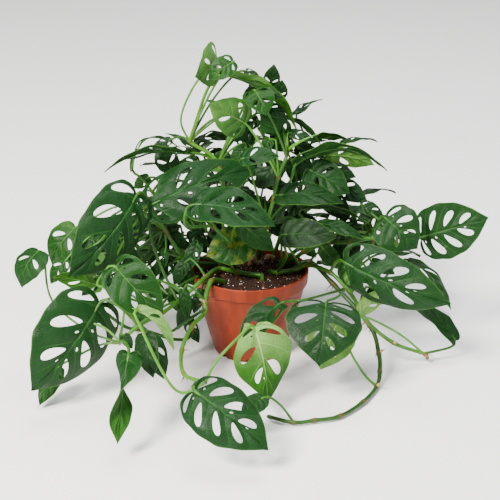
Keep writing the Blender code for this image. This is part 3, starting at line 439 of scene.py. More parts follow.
plant = {
    "stemRadius": 3.0,
    "stemTipRadius": 2.2,
    # (leaf shorter than this, radius of its stalk)
    "stalkRadii": [(60.0, 1.4), (92.0, 1.6), (1000.0, 1.9)],
    "nodeSwell": 1.3,
    "stemSteps": 12,  # along a stem from node to node
    "bladeThickness": 0.6,
    # (leaf length up to this, steps along a blade's side, steps across it)
    "bladeSteps": [(55.0, 32, 9), (80.0, 46, 12), (10000.0, 58, 15)],
    "sharpEdge": 55.0,  # degrees from which a blade's edge stays crisp
    # relief of a blade, as shares of its length
    "quiltHeight": 0.015,  # bulge between veins
    "midribGroove": 0.006,
    "midribReach": 0.03,
    "ripple": 0.005,  # slow ripples over the whole blade
    "waveHeight": 0.015,
    "waveCount": 2.5,  # waves of the margin from stalk to tip
    "notch": 0.035,  # how far the margin draws in where a side vein meets it
    "veinSweep": 1.4,  # above 1, side veins leave the midrib nearer to the stalk
    "outlineWidth": 0.77,  # of the leaf below
    # holes: where they start and end on the way from midrib to margin, and their half width
    "holeInner": 0.13,
    "holeOuter": 0.86,
    "holeHalf": 0.038,
    # where they begin along the midrib, the share they take up, and half of how far one side is ahead
    "firstHole": 0.17,
    "holeSpan": 0.62,
    "holeShift": 0.012,
    "soilTop": 103.0,
    "rootDepth": 32.0,
}

# one side of a leaf of length 1, from stalk to tip: along the midrib, out from it
halfOutline = [(0.0, 0.0), (-0.055, 0.10), (-0.035, 0.24), (0.09, 0.345), (0.28, 0.39),
               (0.50, 0.37), (0.70, 0.275), (0.85, 0.15), (0.945, 0.05), (1.0, 0.0)]


def linear(hexColour):
    # sRGB hex to linear RGBA
    parts = [int(hexColour[i:i + 2], 16) / 255 for i in (1, 3, 5)]
    return [c / 12.92 if c <= 0.04045 else ((c + 0.055) / 1.055) ** 2.4 for c in parts] + [1.0]


def feed(node, inputs):
    # each input gets a value or the output that feeds it; a node stands for its first output
    for socket, value in inputs.items():
        if isinstance(value, bpy.types.Node):
            value = value.outputs[0]
        if isinstance(value, bpy.types.NodeSocket):
            node.id_data.links.new(value, node.inputs[socket])
        else:
            node.inputs[socket].default_value = value


def addNode(tree, kind, inputs=None, **settings):
    # one node with its settings, values and links
    node = tree.nodes.new(kind)
    for name, value in settings.items():
        setattr(node, name, value)
    feed(node, inputs or {})
    return node


def smoothCurve(points, steps):
    # smooth line through the points
    points = [Vector(p) for p in points]
    ends = [2 * points[0] - points[1]] + points + [2 * points[-1] - points[-2]]
    line = [points[0]]
    for i in range(1, len(ends) - 2):
        a, b, c, d = ends[i - 1:i + 3]
        for step in range(1, steps + 1):
            t = step / steps
            pull = (c - a) * t + (2 * a - 5 * b + 4 * c - d) * t**2 + (3 * b - a - 3 * c + d) * t**3
            line.append(b + pull / 2)
    return line


def newObject(name, data):
    made = bpy.data.objects.new(name, data)
    bpy.context.scene.collection.objects.link(made)
    return made


def meshPiece(name, points, faces, materials):
    # a mesh object at the origin, points in metres
    mesh = bpy.data.meshes.new(name)
    mesh.from_pydata([tuple(p) for p in points], [], faces)
    mesh.update()
    for look in materials:
        mesh.materials.append(look)
    mesh.shade_smooth()
    return newObject(name, mesh)


def ready(piece, slotName, *nodes):
    # ties a finished piece to the part
    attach(piece, "root")
    if nodes:
        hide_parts(*nodes)


# the photograph's view: metres, degrees above the floor, and the lens and sensor in millimetres
view = {
    "target": (0.0, 0.0, 0.1365),
    "elevation": 21.7,
    "distance": 1.7,
    "lens": 96.5,
    "sensor": 36.0,
    "clipStart": 0.05,
}


def standAimed(name, data, place):
    # a camera or lamp, turned to the plant
    stood = newObject(name, data)
    stood.location = place
    stood.rotation_euler = (Vector(view["target"]) - Vector(place)).to_track_quat("-Z", "Y").to_euler()
    return stood


def makeCamera():
    lift = math.radians(view["elevation"])
    away = Vector((0.0, -math.cos(lift), math.sin(lift))) * view["distance"]
    data = bpy.data.cameras.new("plantCamera")
    data.lens = view["lens"]
    data.sensor_width = view["sensor"]
    data.clip_start = view["clipStart"]
    bpy.context.scene.camera = standAimed("plantCamera", data, Vector(view["target"]) + away)


studio = {
    "floorSize": 12.0,
    "paper": "#FBFBFA",
    "paperRoughness": 0.9,
    "air": "#F6F8FA",
    "airStrength": 0.6,
    "lamps": {  # name: (place, size, watts, colour)
        "keySoftbox": ((-1.3, -1.9, 2.2), 0.9, 270.0, "#FFFAF2"),
        "fillSoftbox": ((1.9, -1.5, 1.3), 1.8, 22.0, "#F4F8FF"),
        "topSoftbox": ((0.2, 0.5, 2.6), 1.6, 70.0, "#FFFFFF"),
    },
}


def makeStudio():
    for name, (place, size, watts, colour) in studio["lamps"].items():
        data = bpy.data.lights.new(name, "AREA")
        data.shape = "DISK"
        data.size = size
        data.energy = watts
        data.color = linear(colour)[:3]
        standAimed(name, data, place)
    world = bpy.data.worlds.new("studioAir")
    bpy.context.scene.world = world
    world.use_nodes = True
    feed(world.node_tree.nodes["Background"], {
        "Color": linear(studio["air"]), "Strength": studio["airStrength"]})
    # uncoated background paper: white and without a shine
    paper, _, shader = newMaterial("studioPaper")
    feed(shader, {"Base Color": linear(studio["paper"]), "Roughness": studio["paperRoughness"]})
    half = studio["floorSize"] / 2
    corners = [(-half, -half, 0), (half, -half, 0), (half, half, 0), (-half, half, 0)]
    meshPiece("studioFloor", corners, [(0, 1, 2, 3)], [paper])


def newMaterial(name):
    # a material, its node tree and its main shader
    look = bpy.data.materials.new(name)
    look.use_nodes = True
    return look, look.node_tree, look.node_tree.nodes["Principled BSDF"]


leafLook = {
    # painted shade deep inside the plant, old, fresh and young: tones -0.5, 0, 0.5 and 1
    "upper": ("#0A1F04", "#092F0A", "#0D3A02", "#5C8C3C"),
    "under": ("#152706", "#173815", "#27560F", "#7AA257"),
    "vein": "#36702A",
    "veinYoung": "#A4CC78",
    "shade": "#07180B",  # cells between the finest veins
    "margin": "#4C7A20",
    "yellowing": "#45560C",
    # sizes of the patterns and depth of the relief, in millimetres
    "patchSize": 34.0,
    "blotchSize": 11.0,
    "netSize": 3.2,
    "wrinkleSize": 15.0,
    "relief": 0.8,
    # upper and lower face
    "roughness": ((0.40, 0.56), (0.50, 0.64)),
    "gloss": (0.18, 0.10),
    "veinColour": (0.32, 0.6),
    "veinRelief": (-0.8, 0.8),
    "swelling": (4.0, -4.0),
    "wrinkling": 5.0,
}


def leafMaterial(name, under):
    # Monstera blade: a waxy cuticle over soft green tissue, so broad soft highlights, side veins
    # pressed into the upper face, and a duller, paler lower face on which the veins stand out.
    look, tree, shader = newMaterial(name)
    place = addNode(tree, "ShaderNodeTexCoord").outputs["Object"]
    tone = addNode(tree, "ShaderNodeAttribute", attribute_name="leafTone").outputs["Fac"]
    ageing = addNode(tree, "ShaderNodeAttribute", attribute_name="leafAgeing").outputs["Fac"]
    veinMap = addNode(tree, "ShaderNodeUVMap", uv_map="veinMap").outputs["UV"]
    split = addNode(tree, "ShaderNodeSeparateXYZ", {0: veinMap}).outputs
    # cloudy change of green over a blade
    patches = addNode(tree, "ShaderNodeTexNoise", {
        "Vector": place, "Scale": 1000 / leafLook["patchSize"], "Detail": 3.0})
    drift = addNode(tree, "ShaderNodeMapRange", {0: patches, 1: 0.3, 2: 0.7, 3: -0.10, 4: 0.12})
    toned = addNode(tree, "ShaderNodeMath", {0: tone, 1: drift}, operation="ADD")
    share = addNode(tree, "ShaderNodeMapRange", {0: toned, 1: -0.5, 2: 1.0})
    ramp = addNode(tree, "ShaderNodeValToRGB", {0: share})
    # the colour at tone -0.5 is painted shade, for leaves deep in the plant
    paintedShade, old, fresh, young = (linear(c) for c in leafLook["under" if under else "upper"])
    ramp.color_ramp.elements[0].color = paintedShade
    ramp.color_ramp.elements[1].color = young
    ramp.color_ramp.elements.new(1 / 3).color = old
    ramp.color_ramp.elements.new(2 / 3).color = fresh
    # the net of the finest veins has meshes under 1 mm wide, drawn at about 3 mm so that they show
    net = addNode(tree, "ShaderNodeTexVoronoi", {
        "Vector": place, "Scale": 1000 / leafLook["netSize"]}, feature="DISTANCE_TO_EDGE")
    net = net.outputs["Distance"]
    cells = addNode(tree, "ShaderNodeMapRange", {0: net, 1: 0.04, 2: 0.30, 3: 0.0, 4: 0.22})
    base = addNode(tree, "ShaderNodeMix", {
        0: cells, 6: ramp, 7: linear(leafLook["shade"])}, data_type="RGBA").outputs[2]
    # side veins run where the map's first value is a whole number, the midrib where the second is 0
    near = addNode(tree, "ShaderNodeMath", {0: split[0], 1: 0.5}, operation="PINGPONG")
    line = addNode(tree, "ShaderNodeMapRange", {0: near, 1: 0.008, 2: 0.045, 3: 0.6, 4: 0.0})
    fade = addNode(tree, "ShaderNodeMapRange", {0: split[1], 1: 0.5, 2: 0.95, 3: 1.0, 4: 0.0})
    sideVein = addNode(tree, "ShaderNodeMath", {0: line, 1: fade}, operation="MULTIPLY")
    midrib = addNode(tree, "ShaderNodeMapRange", {0: split[1], 1: 0.012, 2: 0.04, 3: 1.0, 4: 0.0})
    veins = addNode(tree, "ShaderNodeMath", {0: sideVein, 1: midrib}, operation="MAXIMUM")
    veinColour = addNode(tree, "ShaderNodeMix", {
        0: tone, 6: linear(leafLook["vein"]), 7: linear(leafLook["veinYoung"])}, data_type="RGBA")
    shown = addNode(tree, "ShaderNodeMath", {
        0: veins, 1: leafLook["veinColour"][under]}, operation="MULTIPLY")
    base = addNode(tree, "ShaderNodeMix", {
        0: shown, 6: base, 7: veinColour.outputs[2]}, data_type="RGBA").outputs[2]
    edge = addNode(tree, "ShaderNodeMapRange", {0: split[1], 1: 0.965, 2: 1.0, 3: 0.0, 4: 0.4})
    base = addNode(tree, "ShaderNodeMix", {
        0: edge, 6: base, 7: linear(leafLook["margin"])}, data_type="RGBA").outputs[2]
    blotch = addNode(tree, "ShaderNodeTexNoise", {
        "Vector": place, "Scale": 1000 / leafLook["blotchSize"], "Detail": 3.0})
    spots = addNode(tree, "ShaderNodeMapRange", {0: blotch, 1: 0.5, 2: 0.6, 3: 0.0, 4: 1.0})
    spots = addNode(tree, "ShaderNodeMath", {0: spots, 1: ageing}, operation="MULTIPLY")
    base = addNode(tree, "ShaderNodeMix", {
        0: spots, 6: base, 7: linear(leafLook["yellowing"])}, data_type="RGBA").outputs[2]
    low, high = leafLook["roughness"][under]
    rough = addNode(tree, "ShaderNodeMapRange", {0: patches, 1: 0.3, 2: 0.7, 3: low, 4: high})
    # relief: the veins pressed in, the blade swelling between them, slow wrinkles and the net;
    # on the lower face the veins stand out and the blade sinks
    swell = addNode(tree, "ShaderNodeMath", {0: near, 1: 0.3, 2: 0.2}, operation="SMOOTH_MIN")
    swell = addNode(tree, "ShaderNodeMath", {0: swell, 1: fade}, operation="MULTIPLY")
    swell = addNode(tree, "ShaderNodeMath", {
        0: swell, 1: leafLook["swelling"][under]}, operation="MULTIPLY")
    wrinkle = addNode(tree, "ShaderNodeTexNoise", {
        "Vector": place, "Scale": 1000 / leafLook["wrinkleSize"], "Detail": 2.0})
    wrinkle = addNode(tree, "ShaderNodeMath", {0: wrinkle, 1: leafLook["wrinkling"]}, operation="MULTIPLY")
    raised = addNode(tree, "ShaderNodeMath", {
        0: veins, 1: leafLook["veinRelief"][under]}, operation="MULTIPLY")
    height = addNode(tree, "ShaderNodeMath", {0: raised, 1: net}, operation="ADD")
    for more in (swell, wrinkle):
        height = addNode(tree, "ShaderNodeMath", {0: height, 1: more}, operation="ADD")
    bump = addNode(tree, "ShaderNodeBump", {
        "Height": height, "Strength": 0.6, "Distance": leafLook["relief"] * mm})
    feed(shader, {
        "Base Color": base, "Roughness": rough, "Normal": bump, "IOR": 1.45,
        "Specular IOR Level": leafLook["gloss"][under], "Subsurface Weight": 0.10,
        "Subsurface Radius": (0.0010, 0.0022, 0.0005), "Subsurface Scale": 1.0})
    return look


stemLook = {
    "young": "#4C8420",
    "green": "#214E0B",
    "old": "#143206",
    "fleck": "#56852A",
    "scar": "#6B4426",
    # sizes of the patterns and depth of the pores, in millimetres
    "cloudSize": 22.0,
    "poreSize": 2.2,
    "scarSize": 3.0,
    "poreDepth": 0.4,
    "age": 0.5,  # 0 pale and young, 1 dark and old
    "ages": {"loop_right": 0.80, "loop_left": 0.22, "trail_left": 0.26, "trail_right": 0.34, "top": 0.15},
}


def stemMaterial():
    # Living stem: a smooth, slightly glossy green skin, paler where it is young, with pale pores
    # and brown scars at the nodes.
    look, tree, shader = newMaterial("livingStemSkin")
    place = addNode(tree, "ShaderNodeTexCoord").outputs["Object"]
    age = addNode(tree, "ShaderNodeAttribute", attribute_name="stemAge").outputs["Fac"]
    mark = addNode(tree, "ShaderNodeAttribute", attribute_name="nodeMark").outputs["Fac"]
    cloud = addNode(tree, "ShaderNodeTexNoise", {
        "Vector": place, "Scale": 1000 / stemLook["cloudSize"], "Detail": 3.0})
    drift = addNode(tree, "ShaderNodeMapRange", {0: cloud, 1: 0.3, 2: 0.7, 3: -0.14, 4: 0.14})
    aged = addNode(tree, "ShaderNodeMath", {0: age, 1: drift}, operation="ADD")
    ramp = addNode(tree, "ShaderNodeValToRGB", {0: aged})
    ramp.color_ramp.elements[0].color = linear(stemLook["young"])
    ramp.color_ramp.elements[1].color = linear(stemLook["old"])
    ramp.color_ramp.elements.new(0.45).color = linear(stemLook["green"])
    # pale pores about 2 mm apart
    pores = addNode(tree, "ShaderNodeTexNoise", {
        "Vector": place, "Scale": 1000 / stemLook["poreSize"], "Roughness": 0.7})
    flecks = addNode(tree, "ShaderNodeMapRange", {0: pores, 1: 0.55, 2: 0.75, 3: 0.0, 4: 0.4})
    base = addNode(tree, "ShaderNodeMix", {
        0: flecks, 6: ramp, 7: linear(stemLook["fleck"])}, data_type="RGBA").outputs[2]
    ragged = addNode(tree, "ShaderNodeTexNoise", {
        "Vector": place, "Scale": 1000 / stemLook["scarSize"], "Detail": 3.0})
    scar = addNode(tree, "ShaderNodeMapRange", {0: ragged, 1: 0.35, 2: 0.62, 3: 0.25, 4: 1.0})
    scar = addNode(tree, "ShaderNodeMath", {0: mark, 1: scar}, operation="MULTIPLY")
    base = addNode(tree, "ShaderNodeMix", {
        0: scar, 6: base, 7: linear(stemLook["scar"])}, data_type="RGBA").outputs[2]
    bump = addNode(tree, "ShaderNodeBump", {
        "Height": pores, "Strength": 0.3, "Distance": stemLook["poreDepth"] * mm})
    feed(shader, {
        "Base Color": base, "Normal": bump, "Roughness": 0.38, "Specular IOR Level": 0.28,
        "Subsurface Weight": 0.06, "Subsurface Radius": (0.001, 0.002, 0.0006), "Subsurface Scale": 1.0})
    return look


roughLooks = {
    # name: light, dark, size of its patches, roughness, depth and size of its bumps, in millimetres
    "dryAerialRoot": ("#8A4A22", "#4A2814", 1.5, 0.80, 0.3, 0.8),  # thin rusty skin, fibrous
    "paperySheath": ("#C9B98C", "#7E6A44", 2.5, 0.75, 0.3, 1.2),  # dead leaf sheath, dry as paper
    "dryBark": ("#A07C5A", "#4E3626", 3.0, 0.85, 0.8, 1.5),  # corky cut stem
    "dampPeatSoil": ("#2E1A0E", "#0F0704", 4.0, 0.95, 1.2, 1.5),  # dark, soft, uneven
    "peatCrumb": ("#3C2312", "#120904", 3.0, 0.95, 0.5, 1.0),  # loose crumbs, a little browner
    "pineBarkChip": ("#5E3A22", "#2A160B", 3.0, 0.90, 0.5, 1.2),  # split bark in the soil mix
    "perlite": ("#E9E4DA", "#B7AC9C", 1.5, 0.90, 0.3, 0.6),  # puffed white glass grains
}


def roughMaterial(name):
    # a dull, uneven natural surface in two tones
    light, dark, size, roughness, depth, bumpSize = roughLooks[name]
    look, tree, shader = newMaterial(name)
    place = addNode(tree, "ShaderNodeTexCoord").outputs["Object"]
    cloud = addNode(tree, "ShaderNodeTexNoise", {
        "Vector": place, "Scale": 1000 / size, "Detail": 4.0, "Roughness": 0.6})
    share = addNode(tree, "ShaderNodeMapRange", {0: cloud, 1: 0.35, 2: 0.65})
    base = addNode(tree, "ShaderNodeMix", {
        0: share, 6: linear(light), 7: linear(dark)}, data_type="RGBA")
    grit = addNode(tree, "ShaderNodeTexNoise", {"Vector": place, "Scale": 1000 / bumpSize, "Detail": 3.0})
    bump = addNode(tree, "ShaderNodeBump", {"Height": grit, "Strength": 0.6, "Distance": depth * mm})
    feed(shader, {
        "Base Color": base.outputs[2], "Normal": bump, "Roughness": roughness, "Specular IOR Level": 0.25})
    return look


potLook = {
    "lit": "#7C2805",
    "body": "#681F03",
    "scuff": "#884020",
    # sizes of the patterns and depth of the orange peel, in millimetres
    "flowSize": 9.0,
    "flowStretch": 0.12,  # the marks change this much slower upright than across
    "scuffSize": 5.0,
    "peelSize": 0.9,
    "peelDepth": 0.3,
}


def potMaterial():
    # Injection-moulded polypropylene in terracotta colour: an even satin skin with a faint orange
    # peel, slight upright flow marks and a few pale scuffs.
    look, tree, shader = newMaterial("terracottaPolypropylene")
    place = addNode(tree, "ShaderNodeTexCoord").outputs["Object"]
    stretch = addNode(tree, "ShaderNodeMapping", {
        "Vector": place, "Scale": (1.0, 1.0, potLook["flowStretch"])})
    flow = addNode(tree, "ShaderNodeTexNoise", {
        "Vector": stretch, "Scale": 1000 / potLook["flowSize"], "Detail": 3.0})
    share = addNode(tree, "ShaderNodeMapRange", {0: flow, 1: 0.35, 2: 0.65})
    base = addNode(tree, "ShaderNodeMix", {
        0: share, 6: linear(potLook["body"]), 7: linear(potLook["lit"])}, data_type="RGBA").outputs[2]
    worn = addNode(tree, "ShaderNodeTexNoise", {
        "Vector": place, "Scale": 1000 / potLook["scuffSize"], "Detail": 5.0, "Roughness": 0.7})
    scuffs = addNode(tree, "ShaderNodeMapRange", {0: worn, 1: 0.64, 2: 0.72, 3: 0.0, 4: 0.3})
    base = addNode(tree, "ShaderNodeMix", {
        0: scuffs, 6: base, 7: linear(potLook["scuff"])}, data_type="RGBA").outputs[2]
    rough = addNode(tree, "ShaderNodeMapRange", {0: worn, 1: 0.3, 2: 0.7, 3: 0.44, 4: 0.56})
    peel = addNode(tree, "ShaderNodeTexNoise", {"Vector": place, "Scale": 1000 / potLook["peelSize"]})
    bump = addNode(tree, "ShaderNodeBump", {
        "Height": peel, "Strength": 0.12, "Distance": potLook["peelDepth"] * mm})
    feed(shader, {
        "Base Color": base, "Roughness": rough, "Normal": bump, "IOR": 1.49, "Specular IOR Level": 0.28})
    return look


def newTree(name, inputs):
    # a geometry tree with a mesh in, a mesh out and the named inputs
    tree = bpy.data.node_groups.new(name, "GeometryNodeTree")
    tree.interface.new_socket("Geometry", in_out="INPUT", socket_type="NodeSocketGeometry")
    for label, kind in inputs:
        tree.interface.new_socket(label, in_out="INPUT", socket_type="NodeSocket" + kind)
    tree.interface.new_socket("Geometry", in_out="OUTPUT", socket_type="NodeSocketGeometry")
    return tree, addNode(tree, "NodeGroupInput").outputs


def endTree(tree, shape, finish):
    # every tree ends the same way: plain mesh, smooth, in its material
    whole = addNode(tree, "GeometryNodeRealizeInstances", {"Geometry": shape})
    soft = addNode(tree, "GeometryNodeSetShadeSmooth", {"Geometry": whole})
    dressed = addNode(tree, "GeometryNodeSetMaterial", {"Geometry": soft, "Material": finish})
    addNode(tree, "NodeGroupOutput", {0: dressed})
    return tree


def tubeTree():
    # tubes along drawn lines: each point of a line carries its own radius
    tree, given = newTree("tubesAlongLines", [
        ("Sides", "Int"), ("Bumpiness", "Float"), ("Bump Size", "Float"), ("Finish", "Material")])
    curves = addNode(tree, "GeometryNodeMeshToCurve", {0: given["Geometry"]})
    radius = addNode(tree, "GeometryNodeInputNamedAttribute", {"Name": "tubeRadius"}, data_type="FLOAT")
    ring = addNode(tree, "GeometryNodeCurvePrimitiveCircle", {"Radius": 1.0, "Resolution": given["Sides"]})
    tube = addNode(tree, "GeometryNodeCurveToMesh", {
        "Curve": curves, "Profile Curve": ring.outputs["Curve"], "Scale": radius, "Fill Caps": True})
    size = addNode(tree, "ShaderNodeMath", {0: 1.0, 1: given["Bump Size"]}, operation="DIVIDE")
    lumps = addNode(tree, "ShaderNodeTexNoise", {"Scale": size})
    centred = addNode(tree, "ShaderNodeMath", {0: lumps, 1: 0.5}, operation="SUBTRACT")
    height = addNode(tree, "ShaderNodeMath", {0: centred, 1: given["Bumpiness"]}, operation="MULTIPLY")
    outward = addNode(tree, "GeometryNodeInputNormal")
    push = addNode(tree, "ShaderNodeVectorMath", {
        0: outward.outputs["Normal"], "Scale": height}, operation="SCALE")
    moved = addNode(tree, "GeometryNodeSetPosition", {"Geometry": tube, "Offset": push})
    return endTree(tree, moved, given["Finish"])


def grainTree():
    # grains strewn over a surface, each turned and sized by chance
    tree, given = newTree("grainsOverSurface", [
        ("Density", "Float"), ("Smallest", "Float"), ("Largest", "Float"), ("Flatness", "Float"),
        ("Seed", "Int"), ("Finish", "Material")])
    points = addNode(tree, "GeometryNodeDistributePointsOnFaces", {
        "Mesh": given["Geometry"], "Density": given["Density"], "Seed": given["Seed"]})
    ball = addNode(tree, "GeometryNodeMeshIcoSphere", {"Radius": 1.0, "Subdivisions": 1})
    ragged = addNode(tree, "ShaderNodeTexNoise", {"Scale": 1.7, "W": given["Seed"]}, noise_dimensions="4D")
    pull = addNode(tree, "ShaderNodeVectorMath", {
        0: ragged.outputs["Color"], 1: (0.5, 0.5, 0.5)}, operation="SUBTRACT")
    more = addNode(tree, "ShaderNodeVectorMath", {0: pull, "Scale": 0.9}, operation="SCALE")
    grain = addNode(tree, "GeometryNodeSetPosition", {"Geometry": ball, "Offset": more})
    size = addNode(tree, "FunctionNodeRandomValue", {
        2: given["Smallest"], 3: given["Largest"], "Seed": given["Seed"]}, data_type="FLOAT")
    flat = addNode(tree, "ShaderNodeMath", {0: size.outputs[1], 1: given["Flatness"]}, operation="MULTIPLY")
    scale = addNode(tree, "ShaderNodeCombineXYZ", {0: size.outputs[1], 1: size.outputs[1], 2: flat})
    turn = addNode(tree, "FunctionNodeRandomValue", {
        0: (-0.5, -0.5, 0.0), 1: (0.5, 0.5, 6.28), "Seed": given["Seed"]}, data_type="FLOAT_VECTOR")
    strewn = addNode(tree, "GeometryNodeInstanceOnPoints", {
        "Points": points, "Instance": grain, "Rotation": turn, "Scale": scale})
    return endTree(tree, strewn, given["Finish"])


def runTree(source, tree, name, values):
    # runs a node tree on an object and leaves a plain mesh piece
    step = source.modifiers.new("nodes", "NODES")
    step.node_group = tree
    for socket in tree.interface.items_tree:
        if socket.in_out == "INPUT" and socket.name in values:
            step[socket.identifier] = values[socket.name]
    source.update_tag()
    graph = bpy.context.evaluated_depsgraph_get()
    mesh = bpy.data.meshes.new_from_object(source.evaluated_get(graph))
    mesh.name = name
    source.modifiers.clear()
    return newObject(name, mesh)


# the margin of one side of the unit leaf, as a fine line
outlineLine = np.array([(p.x, p.y) for p in smoothCurve([(x, y, 0.0) for x, y in halfOutline], 8)])


veinStart, veinSpan = -0.136, 1.136  # from the vein at the stalk to the vein at the tip, which is 1


def veinPoint(t, q):
    # point of the unit leaf at share q of the way along vein t
    place = np.clip(0.12 + 0.88 * t, 0, 1) * (len(outlineLine) - 1)
    low = np.minimum(place.astype(int), len(outlineLine) - 2)
    share = (place - low)[:, None]
    end = outlineLine[low] * (1 - share) + outlineLine[low + 1] * share
    start = np.stack([np.maximum(0.0, (t - 0.22) / 0.78) ** plant["veinSweep"], np.zeros_like(t)], 1)
    ease = np.clip(t / 0.25, 0, 1)
    bow = 0.10 * (1 - t) * ease * ease * (3 - 2 * ease)
    middle = (start + end) / 2 - np.stack([bow, np.zeros_like(t)], 1)
    q = q[:, None]
    return start * (1 - q) ** 2 + middle * 2 * q * (1 - q) + end * q**2


def leafFrame(leaf):
    # base, length, and the ways forward, up and sideways
    base, tip = Vector(leaf["base"]), Vector(leaf["tip"])
    azimuth, height = (math.radians(a) for a in leaf["face"])
    along = tip - base
    forward = along.normalized()
    hint = Vector((math.cos(azimuth) * math.cos(height), math.sin(azimuth) * math.cos(height),
                   math.sin(height)))
    up = (hint - forward * hint.dot(forward)).normalized()
    return base, along.length, forward, up, up.cross(forward)


def bladePoints(leaf, x, y):
    # the unit leaf laid on the bent, folded and waved blade, millimetres
    base, length, forward, up, side = (np.array(v) for v in leafFrame(leaf))
    reach = np.clip(x, 0, 1)
    rise = 4 * leaf["arch"] * reach * (1 - reach)
    slope = 4 * leaf["arch"] * (1 - 2 * reach)
    centre = base + forward * (length * reach)[:, None] + up * (length * rise)[:, None]
    ahead = forward + up * slope[:, None]
    ahead /= np.linalg.norm(ahead, axis=1)[:, None]
    centre += ahead * (length * (x - reach))[:, None]
    angle = (math.radians(leaf["twist"]) * reach)[:, None]
    across = side * np.cos(angle) + np.cross(ahead, side) * np.sin(angle)
    normal = np.cross(ahead, across)
    share = y / (plant["outlineWidth"] / 2)
    fold = math.radians(leaf["cup"]) * share
    out = y * length * leaf["width"] / plant["outlineWidth"]
    safe = np.where(np.abs(fold) < 1e-4, 1e-4, fold)
    flat = np.sin(safe) / safe
    lift = np.copysign((1 - np.cos(safe)) / np.abs(safe), leaf["cup"]) * np.abs(out)
    turn = math.tau * plant["waveCount"] * x + np.where(y > 0, 1.0, 2.6)
    wave = plant["waveHeight"] * length * np.sin(turn)
    return centre + across * (out * flat)[:, None] + normal * (lift + wave * share**2)[:, None]


def holesOf(leaf, side):
    # one side's holes in vein space: place along and out, half width, half length
    count = (leaf["holes"] + 1) // 2 if side > 0 else leaf["holes"] // 2
    chance = random.Random(leaf["name"] + str(side))
    gap = plant["holeSpan"] / max(count, 1)
    holes = []
    for i in range(count):
        t = plant["firstHole"] + gap * (i + 0.5) + plant["holeShift"] * side
        half = min(plant["holeHalf"], 0.14 / count) * chance.uniform(0.8, 1.2)
        inner = plant["holeInner"] + chance.uniform(-0.02, 0.06)
        outer = plant["holeOuter"] - 0.1 * t - chance.uniform(0.0, 0.07)
        holes.append((t, (inner + outer) / 2, half, (outer - inner) / 2))
        if count > 2 and chance.random() < 0.6:  # an eyelet beside the midrib
            holes.append((t + gap * 0.37, chance.uniform(0.13, 0.24), 0.009, 0.05))
    return holes, count


def clearOf(holes, t, q, wider, longer):
    # whether a place lies outside every hole, with the holes taken that much wider and longer
    return all(((t - a) / (h * wider)) ** 2 + ((q - b) / (r * longer)) ** 2 > 1 for a, b, h, r in holes)


def halfBlade(leaf, side, long, wide):
    # one pierced half of the leaf as triangles in vein space
    holes, count = holesOf(leaf, side)
    ts = [veinStart + veinSpan * i / long for i in range(long + 1)]
    qs = [i / wide for i in range(wide + 1)]
    margin = [(t, 0.0) for t in ts] + [(1.0, q) for q in qs[1:]]
    margin += [(t, 1.0) for t in reversed(ts[:-1])] + [(ts[0], q) for q in reversed(qs[1:-1])]
    loops, around = [margin], []
    for place, out, half, reach in holes:
        corners = 22 if reach > 0.1 else 10
        rim = []
        for k in range(corners):
            s, c = math.sin(math.tau * k / corners), math.cos(math.tau * k / corners)
            # a drop shape, wider towards the margin, and a loose ring around it
            rim.append((place + half * s * (1 + 0.3 * c), out + reach * c))
            t, q = place + half * 1.3 * s * (1 + 0.3 * c), out + reach * 1.08 * c
            if ts[0] + 0.02 < t < 0.98 and 0.03 < q < 0.96:
                around.append((t, q))
        loops.append(rim[::-1])
    flat, rings = [], []
    for loop in loops:
        rings.append(list(range(len(flat), len(flat) + len(loop))))
        flat += loop
    flat += [(t, q) for t, q in around if clearOf(holes, t, q, 1.12, 1.03)]
    for i, t in enumerate(ts[1:-1]):
        for q in qs[1:-1]:
            q += (0.5 / wide) * (0.5 if i % 2 else -0.5)
            if clearOf(holes, t, q, 1.75, 1.14):
                flat.append((t, q))
    found, _, faces, _, _, _ = delaunay_2d_cdt([Vector(p) for p in flat], [], rings, 2, 1e-7)
    found = np.array([(p.x, p.y) for p in found])
    tris = np.array([face for face in faces if len(face) == 3])
    a, b, c = (found[tris[:, k]] for k in range(3))
    area = (b - a)[:, 0] * (c - a)[:, 1] - (b - a)[:, 1] * (c - a)[:, 0]
    tris[area < 0] = tris[area < 0][:, ::-1]
    # the veins' count: a vein runs where it is a whole number
    start = found[:, 0] - plant["firstHole"] - plant["holeShift"] * side
    phase = start / (plant["holeSpan"] / max(count, 4))
    return found, tris, phase


# leaves whose tip has a tone of its own
toneEnds = {"pale_front": 0.1, "rolled_pale": 0.6, "top_pale": 0.6, "twisted": 0.25}


